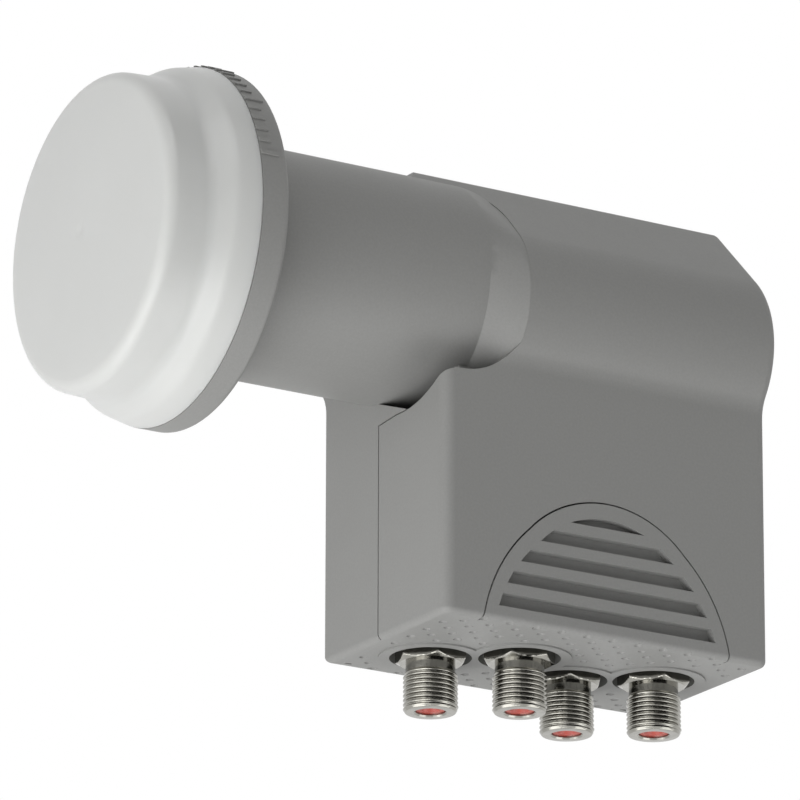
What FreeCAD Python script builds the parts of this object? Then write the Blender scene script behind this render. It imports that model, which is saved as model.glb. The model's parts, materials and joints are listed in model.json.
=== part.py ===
"""Satellite LNB with four outputs: a 40 mm neck, a two part housing and a louvred base.

The origin lies on the feed axis at the middle of the neck's clamp zone. The feed looks
along -Y, the four sockets point down along -Z, and the cover that opens faces +X.
All sizes are millimetres and angles are degrees.
"""
import FreeCAD
import Part
import Sketcher
import math
import os

DOC = FreeCAD.newDocument("satellite_lnb")
SHEET = DOC.addObject("Spreadsheet::Sheet", "sizes")
V = FreeCAD.Vector
X_AXIS = V(1, 0, 0)
Y_AXIS = V(0, 1, 0)
Z_AXIS = V(0, 0, 1)
PLANES = {
    "XY": FreeCAD.Rotation(),
    "XZ": FreeCAD.Rotation(X_AXIS, 90),
    "YZ": FreeCAD.Rotation(V(1, 1, 1), 120),
}
TURNS = {
    "x": FreeCAD.Rotation(Y_AXIS, 90),
    "y": FreeCAD.Rotation(X_AXIS, -90),
    "z": FreeCAD.Rotation(),
}
NODES = []


# Lengths that carry both a number and an expression

class Size:
    """A length with its number and the spreadsheet expression that gives it."""

    def __init__(self, number, text):
        self.number = number
        self.text = text

    def __add__(self, other):
        other = as_size(other)
        return Size(self.number + other.number, f"({self.text} + {other.text})")

    def __radd__(self, other):
        return as_size(other) + self

    def __sub__(self, other):
        other = as_size(other)
        return Size(self.number - other.number, f"({self.text} - {other.text})")

    def __rsub__(self, other):
        return as_size(other) - self

    def __mul__(self, other):
        other = as_size(other)
        return Size(self.number * other.number, f"({self.text} * {other.text})")

    def __rmul__(self, other):
        return self * other

    def __truediv__(self, other):
        other = as_size(other)
        return Size(self.number / other.number, f"({self.text} / {other.text})")

    def __neg__(self):
        return Size(-self.number, f"(0 - {self.text})")


def as_size(value):
    """Turn a plain number into a Size."""
    if isinstance(value, Size):
        return value
    return Size(float(value), f"({float(value)})")


def root(size):
    """Square root of a Size."""
    return Size(math.sqrt(size.number), f"sqrt({size.text})")


def cell(alias, number):
    """Write a driving size into the sheet and return it as a Size."""
    cell.row += 1
    SHEET.set(f"A{cell.row}", alias)
    SHEET.set(f"B{cell.row}", str(number))
    SHEET.setAlias(f"B{cell.row}", alias)
    return Size(number, f"sizes.{alias}")


cell.row = 0

# Driving sizes: neck, ring and collar
neck_radius = cell("neck_radius", 20.0)
neck_bore_radius = cell("neck_bore_radius", 17.6)
ring_radius = cell("ring_radius", 30.9)
ring_front = cell("ring_front", -23.9)
ring_back = cell("ring_back", -18.6)
ring_wall = cell("ring_wall", 2.0)
ring_edge = cell("ring_edge_round", 1.2)
collar_start = cell("collar_start", 27.3)
collar_end = cell("collar_end", 33.1)
collar_step = cell("collar_step", 0.1)
collar_low_x = cell("collar_low_across", 17.16)
collar_low_z = cell("collar_low_up", -17.33)
collar_low_arc = cell("collar_low_arc", 37.4)
bulkhead = cell("bulkhead_thickness", 1.6)
bulkhead_skirt = cell("bulkhead_skirt", 1.6)

# Driving sizes: scale on the ring
TICK_COUNT = 33
TICK_START = 15.3
TICK_STEP = (90 - TICK_START) / 16
tick_width = cell("tick_width", 0.7)
tick_height = cell("tick_height", 0.45)
tick_long = cell("tick_long", 3.45)
tick_short = cell("tick_short", 2.3)

# Driving sizes: housing
housing_front = cell("housing_front", 18.5)
housing_back = cell("housing_back", 84.1)
half_width = cell("half_width", 19.3)
housing_depth = cell("housing_depth", 61.8)
roof_height = cell("roof_height", 20.3)
roof_fall = cell("roof_fall", 0.5)
roof_round = cell("roof_round", 3.0)
bulge_radius = cell("bulge_radius", 17.2)
bulge_x = cell("bulge_centre_across", 6.1)
bulge_z = cell("bulge_centre_up", -4.15)
waist_radius = cell("waist_radius", 6.0)
wall = cell("wall_thickness", 2.0)
corner_round = cell("corner_round", 2.2)
back_round = cell("back_round", 2.0)
edge_round = cell("edge_round", 1.2)
seam_x = cell("seam_across", -2.1)
seam_gap = cell("seam_gap", 0.3)
seam_depth = cell("seam_depth", 0.7)

# Driving sizes: mouth of the housing round the neck
mouth_drop = cell("mouth_drop", 18.7)
mouth_low_start = cell("mouth_low_start", 22.0)
mouth_low_y = cell("mouth_low_along", 32.9)
mouth_low_rise = cell("mouth_low_rise", -12.5)
mouth_low_round = cell("mouth_low_round", 13.0)
far_mouth_drop = cell("far_mouth_drop", 6.0)
far_mouth_y = cell("far_mouth_along", 33.2)
far_mouth_round = cell("far_mouth_round", 4.0)
mouth_high_y = cell("mouth_high_along", 34.1)
mouth_high_round = cell("mouth_high_round", 6.5)
mouth_top = cell("mouth_top", 18.0)
tongue_low = cell("tongue_low", 18.7)
tongue_high = cell("tongue_high", 20.8)
mouth_left_x = cell("mouth_left_across", -8.1)
mouth_left_z = cell("mouth_left_up", -18.44)
mouth_low_x = cell("mouth_low_across", 4.2)
mouth_low_z = cell("mouth_low_up", -23.27)
mouth_arc = cell("mouth_arc", 24.0)
mouth_gap = cell("mouth_gap", 0.25)

# Driving sizes: fairing under the neck
chin_start = cell("chin_start", 11.5)
chin_middle = cell("chin_middle", 15.5)
chin_end = cell("chin_end", 33.6)
chin_right_x = cell("chin_right_across", 17.0)
chin_right_z = cell("chin_right_up", -20.18)
chin_inner_x = cell("chin_inner_across", 11.5)
chin_inner_z = cell("chin_inner_up", -14.6)
chin_root_radius = cell("chin_root_radius", 19.9)
CHIN_SHARES = [0.3, 0.35, 0.15, 0.15]

# Driving sizes: slanted seam
notch_x = cell("notch_across", 7.3)
notch_z = cell("notch_up", -22.95)
seam_top_z = cell("seam_top_up", -23.7)

# Driving sizes: base plate and louvred arches
arch_middle = cell("arch_middle", 51.1)
arch_shoulder_y = cell("arch_shoulder_along", 15.5)
arch_shoulder_z = cell("arch_shoulder_up", -44.9)
arch_foot_y = cell("arch_foot_along", 24.8)
arch_top_round = cell("arch_top_round", 21.2)
arch_side_round = cell("arch_side_round", 28.8)
arch_gap = cell("arch_gap", 0.3)
arch_border = cell("arch_border", 2.7)
slot_height = cell("slot_height", 2.3)
slot_step = cell("slot_step", 4.2)
slot_first = cell("slot_first", -59.2)
slot_recess = cell("slot_recess", 1.6)
SLOT_COUNT = 5
land_radius = cell("land_radius", 8.9)
land_height = cell("land_height", 0.3)

# Driving sizes: sockets
PORT_PLACES = [(-5.9, 31.4), (1.9, 44.4), (-5.7, 58.8), (1.9, 71.7)]
port_places = [
    (cell(f"port_{i}_across", x), cell(f"port_{i}_along", y))
    for i, (x, y) in enumerate(PORT_PLACES, 1)
]
port_well_radius = cell("port_well_radius", 7.06)
port_thread_radius = cell("port_thread_radius", 4.7)
port_shank_radius = cell("port_shank_radius", 4.2)
port_bore_radius = cell("port_bore_radius", 2.6)
port_tip = cell("port_tip", -71.7)
port_hex_across = cell("port_hex_across", 11.0)
port_hex_bottom = cell("port_hex_bottom", -63.1)
port_thread_top = cell("port_thread_top", -64.6)
port_washer = cell("port_washer", 0.6)
port_washer_radius = cell("port_washer_radius", 6.3)
port_chamfer = cell("port_chamfer", 0.5)
port_insulator_end = cell("port_insulator_end", -71.2)
contact_radius = cell("contact_radius", 0.5)
contact_end = cell("contact_end", -70.4)
contact_bend = cell("contact_bend", -53.5)

# Driving sizes: cap
cap_front = cell("cap_front", -39.8)
cap_dome = cell("cap_dome", 1.4)
cap_drum_radius = cell("cap_drum_radius", 27.3)
cap_step_radius = cell("cap_step_radius", 27.7)
cap_step = cell("cap_step", -31.9)
cap_shoulder_radius = cell("cap_shoulder_radius", 30.0)
cap_shoulder = cell("cap_shoulder", -28.3)
cap_wall = cell("cap_wall", 1.6)
cap_edge_round = cell("cap_edge_round", 3.2)
cap_soft_round = cell("cap_soft_round", 1.5)
cap_spigot_inner = cell("cap_spigot_inner", 27.4)
cap_spigot_outer = cell("cap_spigot_outer", 28.8)
cap_spigot_end = cell("cap_spigot_end", -21.8)
cap_flare = cell("cap_flare", -29.0)
seal_width = cell("cap_seal_width", 1.2)
guide_seal_width = cell("guide_seal_width", 2.2)

# Driving sizes: horn
guide_radius = cell("guide_radius", 9.0)
horn_tube_radius = cell("horn_tube_radius", 10.5)
horn_front = cell("horn_front", -36.6)
horn_mouth_radius = cell("horn_mouth_radius", 12.5)
horn_throat = cell("horn_throat", -14.0)
horn_ring_wall = cell("horn_ring_wall", 1.4)
horn_groove = cell("horn_groove", 4.1)
horn_groove_floor = cell("horn_groove_floor", -29.5)
horn_drum_radius = cell("horn_drum_radius", 24.9)
horn_flange_radius = cell("horn_flange_radius", 27.0)
horn_flange = cell("horn_flange", 2.0)
horn_core_radius = cell("horn_core_radius", 13.5)
horn_core_depth = cell("horn_core_depth", 5.5)
horn_stop_radius = cell("horn_stop_radius", 16.0)
horn_stop_front = cell("horn_stop_front", 29.0)
horn_stop_back = cell("horn_stop_back", 32.0)
horn_end = cell("horn_end", 36.7)

# Driving sizes: chassis, lid and boards
chassis_low_front = cell("chassis_low_front", 23.0)
chassis_back = cell("chassis_back", 79.0)
chassis_floor = cell("chassis_floor", -59.8)
chassis_shoulder = cell("chassis_shoulder", -26.0)
chassis_top = cell("chassis_top", 11.0)
chassis_far = cell("chassis_far", -11.8)
chassis_face = cell("chassis_face", 11.0)
chassis_rim = cell("chassis_rim", 3.0)
divider_low = cell("divider_low", -27.8)
divider_high = cell("divider_high", -24.2)
lid_top = cell("lid_top", 5.0)
gasket = cell("gasket_thickness", 0.4)
lid_height = cell("lid_height", 5.0)
lid_skin = cell("lid_skin", 1.5)
rf_floor = cell("rf_floor", 9.8)
rf_board_thickness = cell("rf_board_thickness", 0.8)
if_ledge = cell("if_ledge", 8.0)
if_board_thickness = cell("if_board_thickness", 1.0)
pocket_floor = cell("pocket_floor", -10.0)
pocket_ledge = cell("pocket_ledge", 2.0)
pocket_bottom = cell("pocket_bottom", -55.8)
board_gap = cell("board_gap", 0.3)
guide_end = cell("guide_end", 62.0)
screw_radius = cell("screw_radius", 1.0)
screw_head_radius = cell("screw_head_radius", 1.5)
screw_head = cell("screw_head", 0.8)
screw_reach = cell("screw_reach", 6.0)
probe_radius = cell("probe_radius", 0.45)
sleeve_radius = cell("sleeve_radius", 1.2)
sleeve_start = cell("sleeve_start", 7.6)
probe_tip = cell("probe_tip", 3.5)
probe_end = cell("probe_end", 11.0)
probe_y = cell("probe_along", 44.0)
bent_probe_y = cell("bent_probe_along", 56.0)
bent_probe_x = cell("bent_probe_across", 2.0)
bent_probe_rise = cell("bent_probe_rise", 4.5)
pin_y = cell("pin_along", 50.0)
pin_radius = cell("pin_radius", 0.8)
puck_radius = cell("puck_radius", 2.9)
puck_height = cell("puck_height", 2.2)
puck_z = cell("puck_up", -13.0)
low_puck_y = cell("low_puck_along", 58.0)
high_puck_y = cell("high_puck_along", 70.0)
tuner_radius = cell("tuner_radius", 2.0)
tuner_start = cell("tuner_start", 13.6)
tuner_end = cell("tuner_end", 16.9)

# Values worked out from the driving sizes
SIN_45 = math.sqrt(0.5)
overlap = as_size(1.0)
ring_floor = ring_back - ring_wall
lid_start = chassis_face + gasket
lid_end = lid_start + lid_height
rf_top = rf_floor + rf_board_thickness
if_top = if_ledge + if_board_thickness
bulkhead_back = collar_end + bulkhead


# Building helpers

def bind(feature, name, size):
    """Tie a property of a feature to a Size."""
    feature.setExpression(name, as_size(size).text)


def place(feature, x=None, y=None, z=None):
    """Tie the position of a feature to Sizes."""
    for axis, size in (("x", x), ("y", y), ("z", z)):
        if size is not None:
            bind(feature, f"Placement.Base.{axis}", size)


def finish(feature, label):
    """Name a finished piece and keep it for export."""
    feature.Label = label
    NODES.append(feature)
    return feature


def arc_between(start, end, radius, left):
    """Minor arc from start to end that turns left or right."""
    chord = end - start
    middle = (start + end) * 0.5
    rise = math.sqrt(radius * radius - chord.Length * chord.Length / 4)
    normal = V(-chord.y, chord.x, 0)
    normal.normalize()
    centre = middle + normal * (rise if left else -rise)
    first, last = (start, end) if left else (end, start)
    angles = [math.atan2(p.y - centre.y, p.x - centre.x) for p in (first, last)]
    if angles[1] < angles[0]:
        angles[1] += 2 * math.pi
    return Part.ArcOfCircle(Part.Circle(centre, Z_AXIS, radius), angles[0], angles[1])


def draw_outline(sketch, corners, arcs=None):
    """Closed outline through corners; arcs maps a side's number to (radius, turns left)."""
    arcs = arcs or {}
    corners = [(as_size(u), as_size(v)) for u, v in corners]
    points = [V(u.number, v.number, 0) for u, v in corners]
    count = len(points)
    ends = []
    for i in range(count):
        start = points[i]
        end = points[(i + 1) % count]
        if i in arcs:
            radius, left = arcs[i]
            side = sketch.addGeometry(arc_between(start, end, as_size(radius).number, left))
            ends.append((side, 1, 2) if left else (side, 2, 1))
            at = sketch.addConstraint(
                Sketcher.Constraint("Radius", side, as_size(radius).number))
            sketch.setExpression(f"Constraints[{at}]", as_size(radius).text)
        else:
            side = sketch.addGeometry(Part.LineSegment(start, end))
            ends.append((side, 1, 2))
    for i in range(count):
        side, first, last = ends[i]
        following = ends[(i + 1) % count]
        sketch.addConstraint(
            Sketcher.Constraint("Coincident", side, last, following[0], following[1]))
        for kind, size in zip(("DistanceX", "DistanceY"), corners[i]):
            at = sketch.addConstraint(
                Sketcher.Constraint(kind, -1, 1, side, first, size.number))
            sketch.setExpression(f"Constraints[{at}]", size.text)


def outline_on(plane, name, corners, arcs=None, x=None, y=None, z=None):
    """Free sketch on a plane with one closed outline."""
    sketch = DOC.addObject("Sketcher::SketchObject", name + "_outline")
    sketch.Placement = FreeCAD.Placement(V(), PLANES[plane])
    draw_outline(sketch, corners, arcs)
    place(sketch, x, y, z)
    return sketch


def extrude(name, sketch, axis, length):
    """Solid prism of an outline along an axis."""
    prism = DOC.addObject("Part::Extrusion", name)
    prism.Base = sketch
    prism.DirMode = "Custom"
    prism.Dir = axis
    prism.Solid = True
    bind(prism, "LengthFwd", length)
    return prism


def block(name, x, y, z):
    """Box between two Sizes along each axis."""
    box = DOC.addObject("Part::Box", name)
    for side, (low, high) in zip(("Length", "Width", "Height"), (x, y, z)):
        bind(box, side, as_size(high) - low)
    place(box, as_size(x[0]), as_size(y[0]), as_size(z[0]))
    return box


def rod(name, axis, radius, start, length, x=0, y=0, z=0):
    """Cylinder along an axis; start replaces the coordinate on that axis."""
    bar = DOC.addObject("Part::Cylinder", name)
    bar.Placement = FreeCAD.Placement(V(), TURNS[axis])
    bind(bar, "Radius", radius)
    bind(bar, "Height", length)
    spot = {"x": as_size(x), "y": as_size(y), "z": as_size(z)}
    spot[axis] = as_size(start)
    place(bar, **spot)
    return bar


def fuse(name, *shapes):
    """One solid out of several that touch."""
    joined = DOC.addObject("Part::MultiFuse", name)
    joined.Shapes = list(shapes)
    joined.Refine = True
    return joined


def group(name, *shapes):
    """Several separate solids that share one node."""
    pack = DOC.addObject("Part::Compound", name)
    pack.Links = list(shapes)
    return pack


def common(name, *shapes):
    """What several solids share."""
    shared = DOC.addObject("Part::MultiCommon", name)
    shared.Shapes = list(shapes)
    return shared


def cut(name, base, *tools):
    """A solid with one or more others taken out of it."""
    for i, tool in enumerate(tools, 1):
        last = i == len(tools)
        base_cut = DOC.addObject("Part::Cut", name if last else f"{name}_{i}")
        base_cut.Base = base
        base_cut.Tool = tool
        base = base_cut
    return base


def new_body(name):
    """Empty body for a piece made by turning or padding."""
    return DOC.addObject("PartDesign::Body", name)


def body_sketch(body, role, name, offset=None):
    """Sketch on one of the body's own origin planes."""
    sketch = body.newObject("Sketcher::SketchObject", name)
    plane = [item for item in body.Origin.OriginFeatures if item.Role == role][0]
    sketch.AttachmentSupport = [(plane, "")]
    sketch.MapMode = "FlatFace"
    if offset is not None:
        bind(sketch, "AttachmentOffset.Base.z", offset)
    return sketch


def pad(body, sketch, length, name, back=False):
    """Pad a sketch of a body."""
    feature = body.newObject("PartDesign::Pad", name)
    feature.Profile = sketch
    feature.Reversed = back
    bind(feature, "Length", length)
    sketch.Visibility = False
    return feature


def pocket(body, sketch, length, name, back=False):
    """Pocket a sketch into a body."""
    feature = body.newObject("PartDesign::Pocket", name)
    feature.Profile = sketch
    feature.Reversed = back
    bind(feature, "Length", length)
    return feature


def turn(body, sketch, name, kind="PartDesign::Revolution"):
    """Revolve a sketch of a body about the sketch's upright axis."""
    feature = body.newObject(kind, name)
    feature.Profile = sketch
    feature.ReferenceAxis = (sketch, ["V_Axis"])
    feature.Angle = 360
    return feature


def soften(body, feature, radius, name, chosen):
    """Round the edges of a body for which chosen is true."""
    DOC.recompute()
    edges = [f"Edge{i}" for i, edge in enumerate(feature.Shape.Edges, 1) if chosen(edge)]
    rounding = body.newObject("PartDesign::Fillet", name)
    rounding.Base = (feature, edges)
    bind(rounding, "Radius", radius)
    return rounding


def circle_at(radius, station):
    """Test for a full circle about Y with this radius at this station."""
    def chosen(edge):
        if edge.Degenerated or not isinstance(edge.Curve, Part.Circle):
            return False
        centre = edge.Curve.Center
        same_size = abs(edge.Curve.Radius - radius.number) < 0.02
        return same_size and abs(centre.y - station.number) < 0.02
    return chosen


def middle_of(edge):
    """Point half way along an edge."""
    return edge.valueAt((edge.FirstParameter + edge.LastParameter) / 2)


# Cap and horn

def feed_cap():
    """Light cap: a drum that steps out to a wider skirt with a spigot for the ring."""
    body = new_body("feed_cap")
    outer = body_sketch(body, "XY_Plane", "cap_outer")
    dome_radius = (cap_drum_radius * cap_drum_radius + cap_dome * cap_dome) / (cap_dome * 2)
    draw_outline(outer, [
        (0, cap_spigot_end),
        (0, cap_front - cap_dome),
        (cap_drum_radius, cap_front),
        (cap_step_radius, cap_step),
        (cap_shoulder_radius, cap_shoulder),
        (ring_radius, ring_front),
        (cap_spigot_outer, ring_front),
        (cap_spigot_outer, cap_spigot_end),
    ], {1: (dome_radius, True)})
    feature = turn(body, outer, "cap_solid")
    feature = soften(body, feature, cap_edge_round, "cap_front_round",
                     circle_at(cap_drum_radius, cap_front))
    feature = soften(body, feature, cap_soft_round, "cap_step_round",
                     circle_at(cap_step_radius, cap_step))
    soften(body, feature, cap_soft_round, "cap_shoulder_round",
           circle_at(cap_shoulder_radius, cap_shoulder))
    inner = body_sketch(body, "XY_Plane", "cap_inner")
    draw_outline(inner, [
        (0, cap_spigot_end + overlap),
        (0, cap_front - cap_dome + cap_wall),
        (cap_drum_radius - cap_wall - cap_soft_round, cap_front + cap_wall),
        (cap_drum_radius - cap_wall, cap_front + cap_wall + cap_soft_round),
        (cap_step_radius - cap_wall, cap_step),
        (cap_spigot_inner, cap_flare),
        (cap_spigot_inner, cap_spigot_end + overlap),
    ], {2: (cap_soft_round, True)})
    turn(body, inner, "cap_hollow", "PartDesign::Groove")
    finish(body, "feed_cap")


def square_seal(label, inner_radius, width, start):
    """Rubber ring of square section about the feed axis."""
    disc = rod(label + "_disc", "y", inner_radius + width, start, width)
    eye = rod(label + "_eye", "y", inner_radius, start - overlap, width + overlap * 2)
    finish(cut(label, disc, eye), label)


def feed_horn():
    """Cast horn with two rings of grooves at its mouth and a round waveguide behind."""
    body = new_body("feed_horn")
    lip_1 = horn_mouth_radius + horn_ring_wall
    groove_1 = lip_1 + horn_groove
    lip_2 = groove_1 + horn_ring_wall
    groove_2 = horn_drum_radius - horn_ring_wall
    flange_front = ring_floor - horn_flange
    core_floor = ring_floor - horn_core_depth
    core_radius = horn_drum_radius - horn_ring_wall
    profile = body_sketch(body, "XY_Plane", "horn_profile")
    draw_outline(profile, [
        (guide_radius, horn_end),
        (guide_radius, horn_throat),
        (horn_mouth_radius, horn_front),
        (lip_1, horn_front),
        (lip_1, horn_groove_floor),
        (groove_1, horn_groove_floor),
        (groove_1, horn_front + 1),
        (lip_2, horn_front + 1),
        (lip_2, horn_groove_floor),
        (groove_2, horn_groove_floor),
        (groove_2, horn_front),
        (horn_drum_radius, horn_front),
        (horn_drum_radius, flange_front),
        (horn_flange_radius, flange_front),
        (horn_flange_radius, ring_floor),
        (core_radius, ring_floor),
        (core_radius, core_floor),
        (horn_core_radius, core_floor),
        (horn_core_radius, ring_floor),
        (horn_tube_radius, ring_floor + 2),
        (horn_tube_radius, horn_stop_front),
        (horn_stop_radius, horn_stop_front),
        (horn_stop_radius, horn_stop_back),
        (horn_tube_radius, horn_stop_back),
        (horn_tube_radius, horn_end),
    ])
    turn(body, profile, "horn_solid")
    finish(body, "feed_horn")


# Housing

def housing_section(inset, depth):
    """Corners and arcs of the housing's section, moved in by inset."""
    half = half_width - inset
    bulge = bulge_radius - inset
    waist = waist_radius + inset
    roof = roof_height - inset
    reach = half + waist - bulge_x
    spread = bulge + waist
    waist_z = bulge_z - root(spread * spread - reach * reach)
    meet_x = bulge_x + bulge * reach / spread
    meet_z = bulge_z + bulge * (waist_z - bulge_z) / spread
    slope_x = bulge_x + bulge * SIN_45
    slope_z = bulge_z + bulge * SIN_45
    roof_x = slope_x + slope_z - roof
    round_off = roof_round - inset
    tangent = round_off * math.tan(math.radians(22.5))
    right = [
        (half, -depth),
        (half, waist_z),
        (meet_x, meet_z),
        (slope_x, slope_z),
        (roof_x + tangent * SIN_45, roof - tangent * SIN_45),
        (roof_x - tangent, roof),
    ]
    left = [(-x, z) for x, z in reversed(right)]
    arcs = {
        1: (waist, False), 2: (bulge, True), 4: (round_off, True),
        6: (round_off, True), 8: (bulge, True), 9: (waist, False),
    }
    return right + left, arcs


def housing_form():
    """Outside of the whole housing as one solid, with its corners rounded."""
    body = new_body("housing_form")
    sketch = body_sketch(body, "XZ_Plane", "housing_section", -housing_front)
    corners, arcs = housing_section(as_size(0), housing_depth)
    draw_outline(sketch, corners, arcs)
    feature = pad(body, sketch, housing_back - housing_front, "housing_pad", back=True)
    rounded = body_sketch(body, "XY_Plane", "near_corner", -(housing_depth + overlap))
    draw_outline(rounded, [
        (half_width - corner_round, housing_front),
        (half_width, housing_front + corner_round),
        (half_width + overlap, housing_front + corner_round),
        (half_width + overlap, housing_front - overlap),
        (half_width - corner_round, housing_front - overlap),
    ], {0: (corner_round, True)})
    feature = pocket(body, rounded, housing_depth + overlap - mouth_drop + overlap,
                     "corner_pocket", back=True)
    back = housing_back.number
    low = -housing_depth.number

    def round_back(edge):
        spot = middle_of(edge)
        return abs(spot.y - back) < 0.05 and spot.z > low + 1

    def lower_rim(edge):
        return edge.BoundBox.ZMax < low + 0.05

    feature = soften(body, feature, back_round, "back_edges", round_back)
    soften(body, feature, edge_round, "lower_edges", lower_rim)
    fall = outline_on("YZ", "roof_fall_line", [
        (housing_front - overlap, roof_height),
        (housing_back + overlap, roof_height - roof_fall),
        (housing_back + overlap, roof_height + overlap),
        (housing_front - overlap, roof_height + overlap),
    ], x=-half_width)
    return cut("housing_solid", body, extrude("roof_wedge", fall, X_AXIS, half_width * 2))


def mouth_from_side(name, front, drop, start, end, low_round=None):
    """Opening for the neck seen from the side, as a prism right across the housing.

    Its lower corner runs from start to end, the upper one ends under a tongue of the roof.
    """
    arcs = {4: (mouth_high_round, True)}
    if low_round is not None:
        arcs[1] = (low_round, True)
    end_y, end_z = end
    corners = [
        (front, -drop),
        (start, -drop),
        (end_y, end_z),
        (end_y + (mouth_high_y - end_y) / 2, end_z + (mouth_top - mouth_high_round - end_z) / 2),
        (mouth_high_y, mouth_top - mouth_high_round),
        (mouth_high_y - mouth_high_round, mouth_top),
        (tongue_low, mouth_top),
        (tongue_high, roof_height),
        (tongue_high, roof_height + overlap),
        (front, roof_height + overlap),
    ]
    reach = half_width + waist_radius
    sketch = outline_on("YZ", name, corners, arcs, x=-reach)
    return extrude(name, sketch, X_AXIS, reach * 2)


def mouth_from_front():
    """Opening under the neck in the cover's front wall, with a fine gap to the fairing."""
    corners = [
        (mouth_left_x, mouth_left_z - mouth_gap),
        (mouth_low_x, mouth_low_z - mouth_gap),
        (half_width, -mouth_drop - mouth_gap),
        (half_width, 0),
        (mouth_left_x, 0),
    ]
    sketch = outline_on("XZ", "front_mouth", corners, {1: (mouth_arc, True)},
                        y=housing_front - overlap)
    return extrude("front_mouth", sketch, Y_AXIS, wall + overlap)


def seam_wedge(name, lower, depth):
    """Part of the front wall above the slanted seam, which belongs to the neck's half."""
    corners = [
        (seam_x - overlap, seam_top_z - lower),
        (seam_x, seam_top_z - lower),
        (notch_x, notch_z - lower),
        (notch_x, -mouth_drop),
        (seam_x - overlap, -mouth_drop),
    ]
    sketch = outline_on("XZ", name, corners, y=housing_front - overlap)
    return extrude(name, sketch, Y_AXIS, depth + overlap)


def arch_prism(name, grow, foot):
    """Outline of the louvred arch as a prism right across; grow moves it outwards."""
    shoulder = arch_shoulder_y + grow * SIN_45
    shoulder_z = arch_shoulder_z + grow * SIN_45
    foot_y = arch_foot_y + grow
    corners = [
        (arch_middle - foot_y, foot),
        (arch_middle + foot_y, foot),
        (arch_middle + shoulder, shoulder_z),
        (arch_middle - shoulder, shoulder_z),
    ]
    side = (arch_side_round + grow, True)
    arcs = {1: side, 2: (arch_top_round + grow, True), 3: side}
    reach = half_width + overlap
    sketch = outline_on("YZ", name, corners, arcs, x=-reach)
    return extrude(name, sketch, X_AXIS, reach * 2)


def housing_parts():
    """The forms that the two halves and the base are cut from."""
    form = housing_form()
    corners, arcs = housing_section(wall, housing_depth + overlap)
    hollow_sketch = outline_on("XZ", "hollow", corners, arcs, y=housing_front + wall)
    hollow = extrude("hollow", hollow_sketch, Y_AXIS, housing_back - housing_front - wall * 2)
    shell = cut("bare_shell", form, hollow)
    front = housing_front - overlap
    near_mouth = mouth_from_side("near_mouth", front, mouth_drop, mouth_low_start,
                                 (mouth_low_y, mouth_low_rise), mouth_low_round)
    far_mouth = mouth_from_side("far_mouth", front, far_mouth_drop, far_mouth_y - far_mouth_round,
                                (far_mouth_y, far_mouth_round - far_mouth_drop), far_mouth_round)
    arch_hole = arch_prism("arch_hole", arch_gap, -(housing_depth + overlap))
    pierced = cut("pierced_shell", shell, arch_hole)
    near_shell = cut("near_shell", pierced, near_mouth)
    far_shell = cut("far_shell", pierced, far_mouth)
    return form, hollow, shell, near_shell, far_shell


def scale_ticks():
    """Raised marks of the skew scale over the top of the ring."""
    ticks = []
    for i in range(TICK_COUNT):
        edge_count = min(i, TICK_COUNT - 1 - i)
        length = tick_long if edge_count % 5 == 0 or i == TICK_COUNT // 2 else tick_short
        angle = TICK_START + TICK_STEP * i
        tick = DOC.addObject("Part::Box", f"tick_{i + 1}")
        bind(tick, "Length", tick_height * 2)
        bind(tick, "Width", length)
        bind(tick, "Height", tick_width)
        turned = FreeCAD.Rotation(Y_AXIS, -angle)
        tick.Placement = FreeCAD.Placement(V(), turned)
        out = turned.multVec(X_AXIS)
        up = turned.multVec(Z_AXIS)
        radius = ring_radius - tick_height
        place(tick, radius * out.x - tick_width * (up.x / 2), ring_front,
              radius * out.z - tick_width * (up.z / 2))
        ticks.append(tick)
    return ticks


def loft(name, *sketches):
    """Solid with straight generators through closed outlines of as many sides."""
    skin = DOC.addObject("Part::Loft", name)
    skin.Sections = list(sketches)
    skin.Solid = True
    skin.Ruled = True
    return skin


def collar():
    """Collar that turns the round neck into the housing's own section, one step inside it."""
    full, full_arcs = housing_section(collar_step, housing_depth)
    corners = [(collar_low_x, collar_low_z)] + full[3:9] + [(-collar_low_x, collar_low_z)]
    arcs = {0: full_arcs[2], 2: full_arcs[4], 4: full_arcs[6], 6: full_arcs[8],
            7: (collar_low_arc, True)}
    angles = [math.atan2(as_size(z).number, as_size(x).number) for x, z in corners]
    circle = [(neck_radius * math.cos(a), neck_radius * math.sin(a)) for a in angles]
    rounds = {side: (neck_radius, True) for side in range(len(circle))}
    small = outline_on("XZ", "collar_small", circle, rounds, y=collar_start)
    large = outline_on("XZ", "collar_large", corners, arcs, y=collar_end)
    land = outline_on("XZ", "collar_land", corners, arcs, y=collar_end)
    cone = loft("collar_cone", small, large)
    return fuse("collar_solid", cone, extrude("collar_end", land, Y_AXIS, bulkhead))


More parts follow.
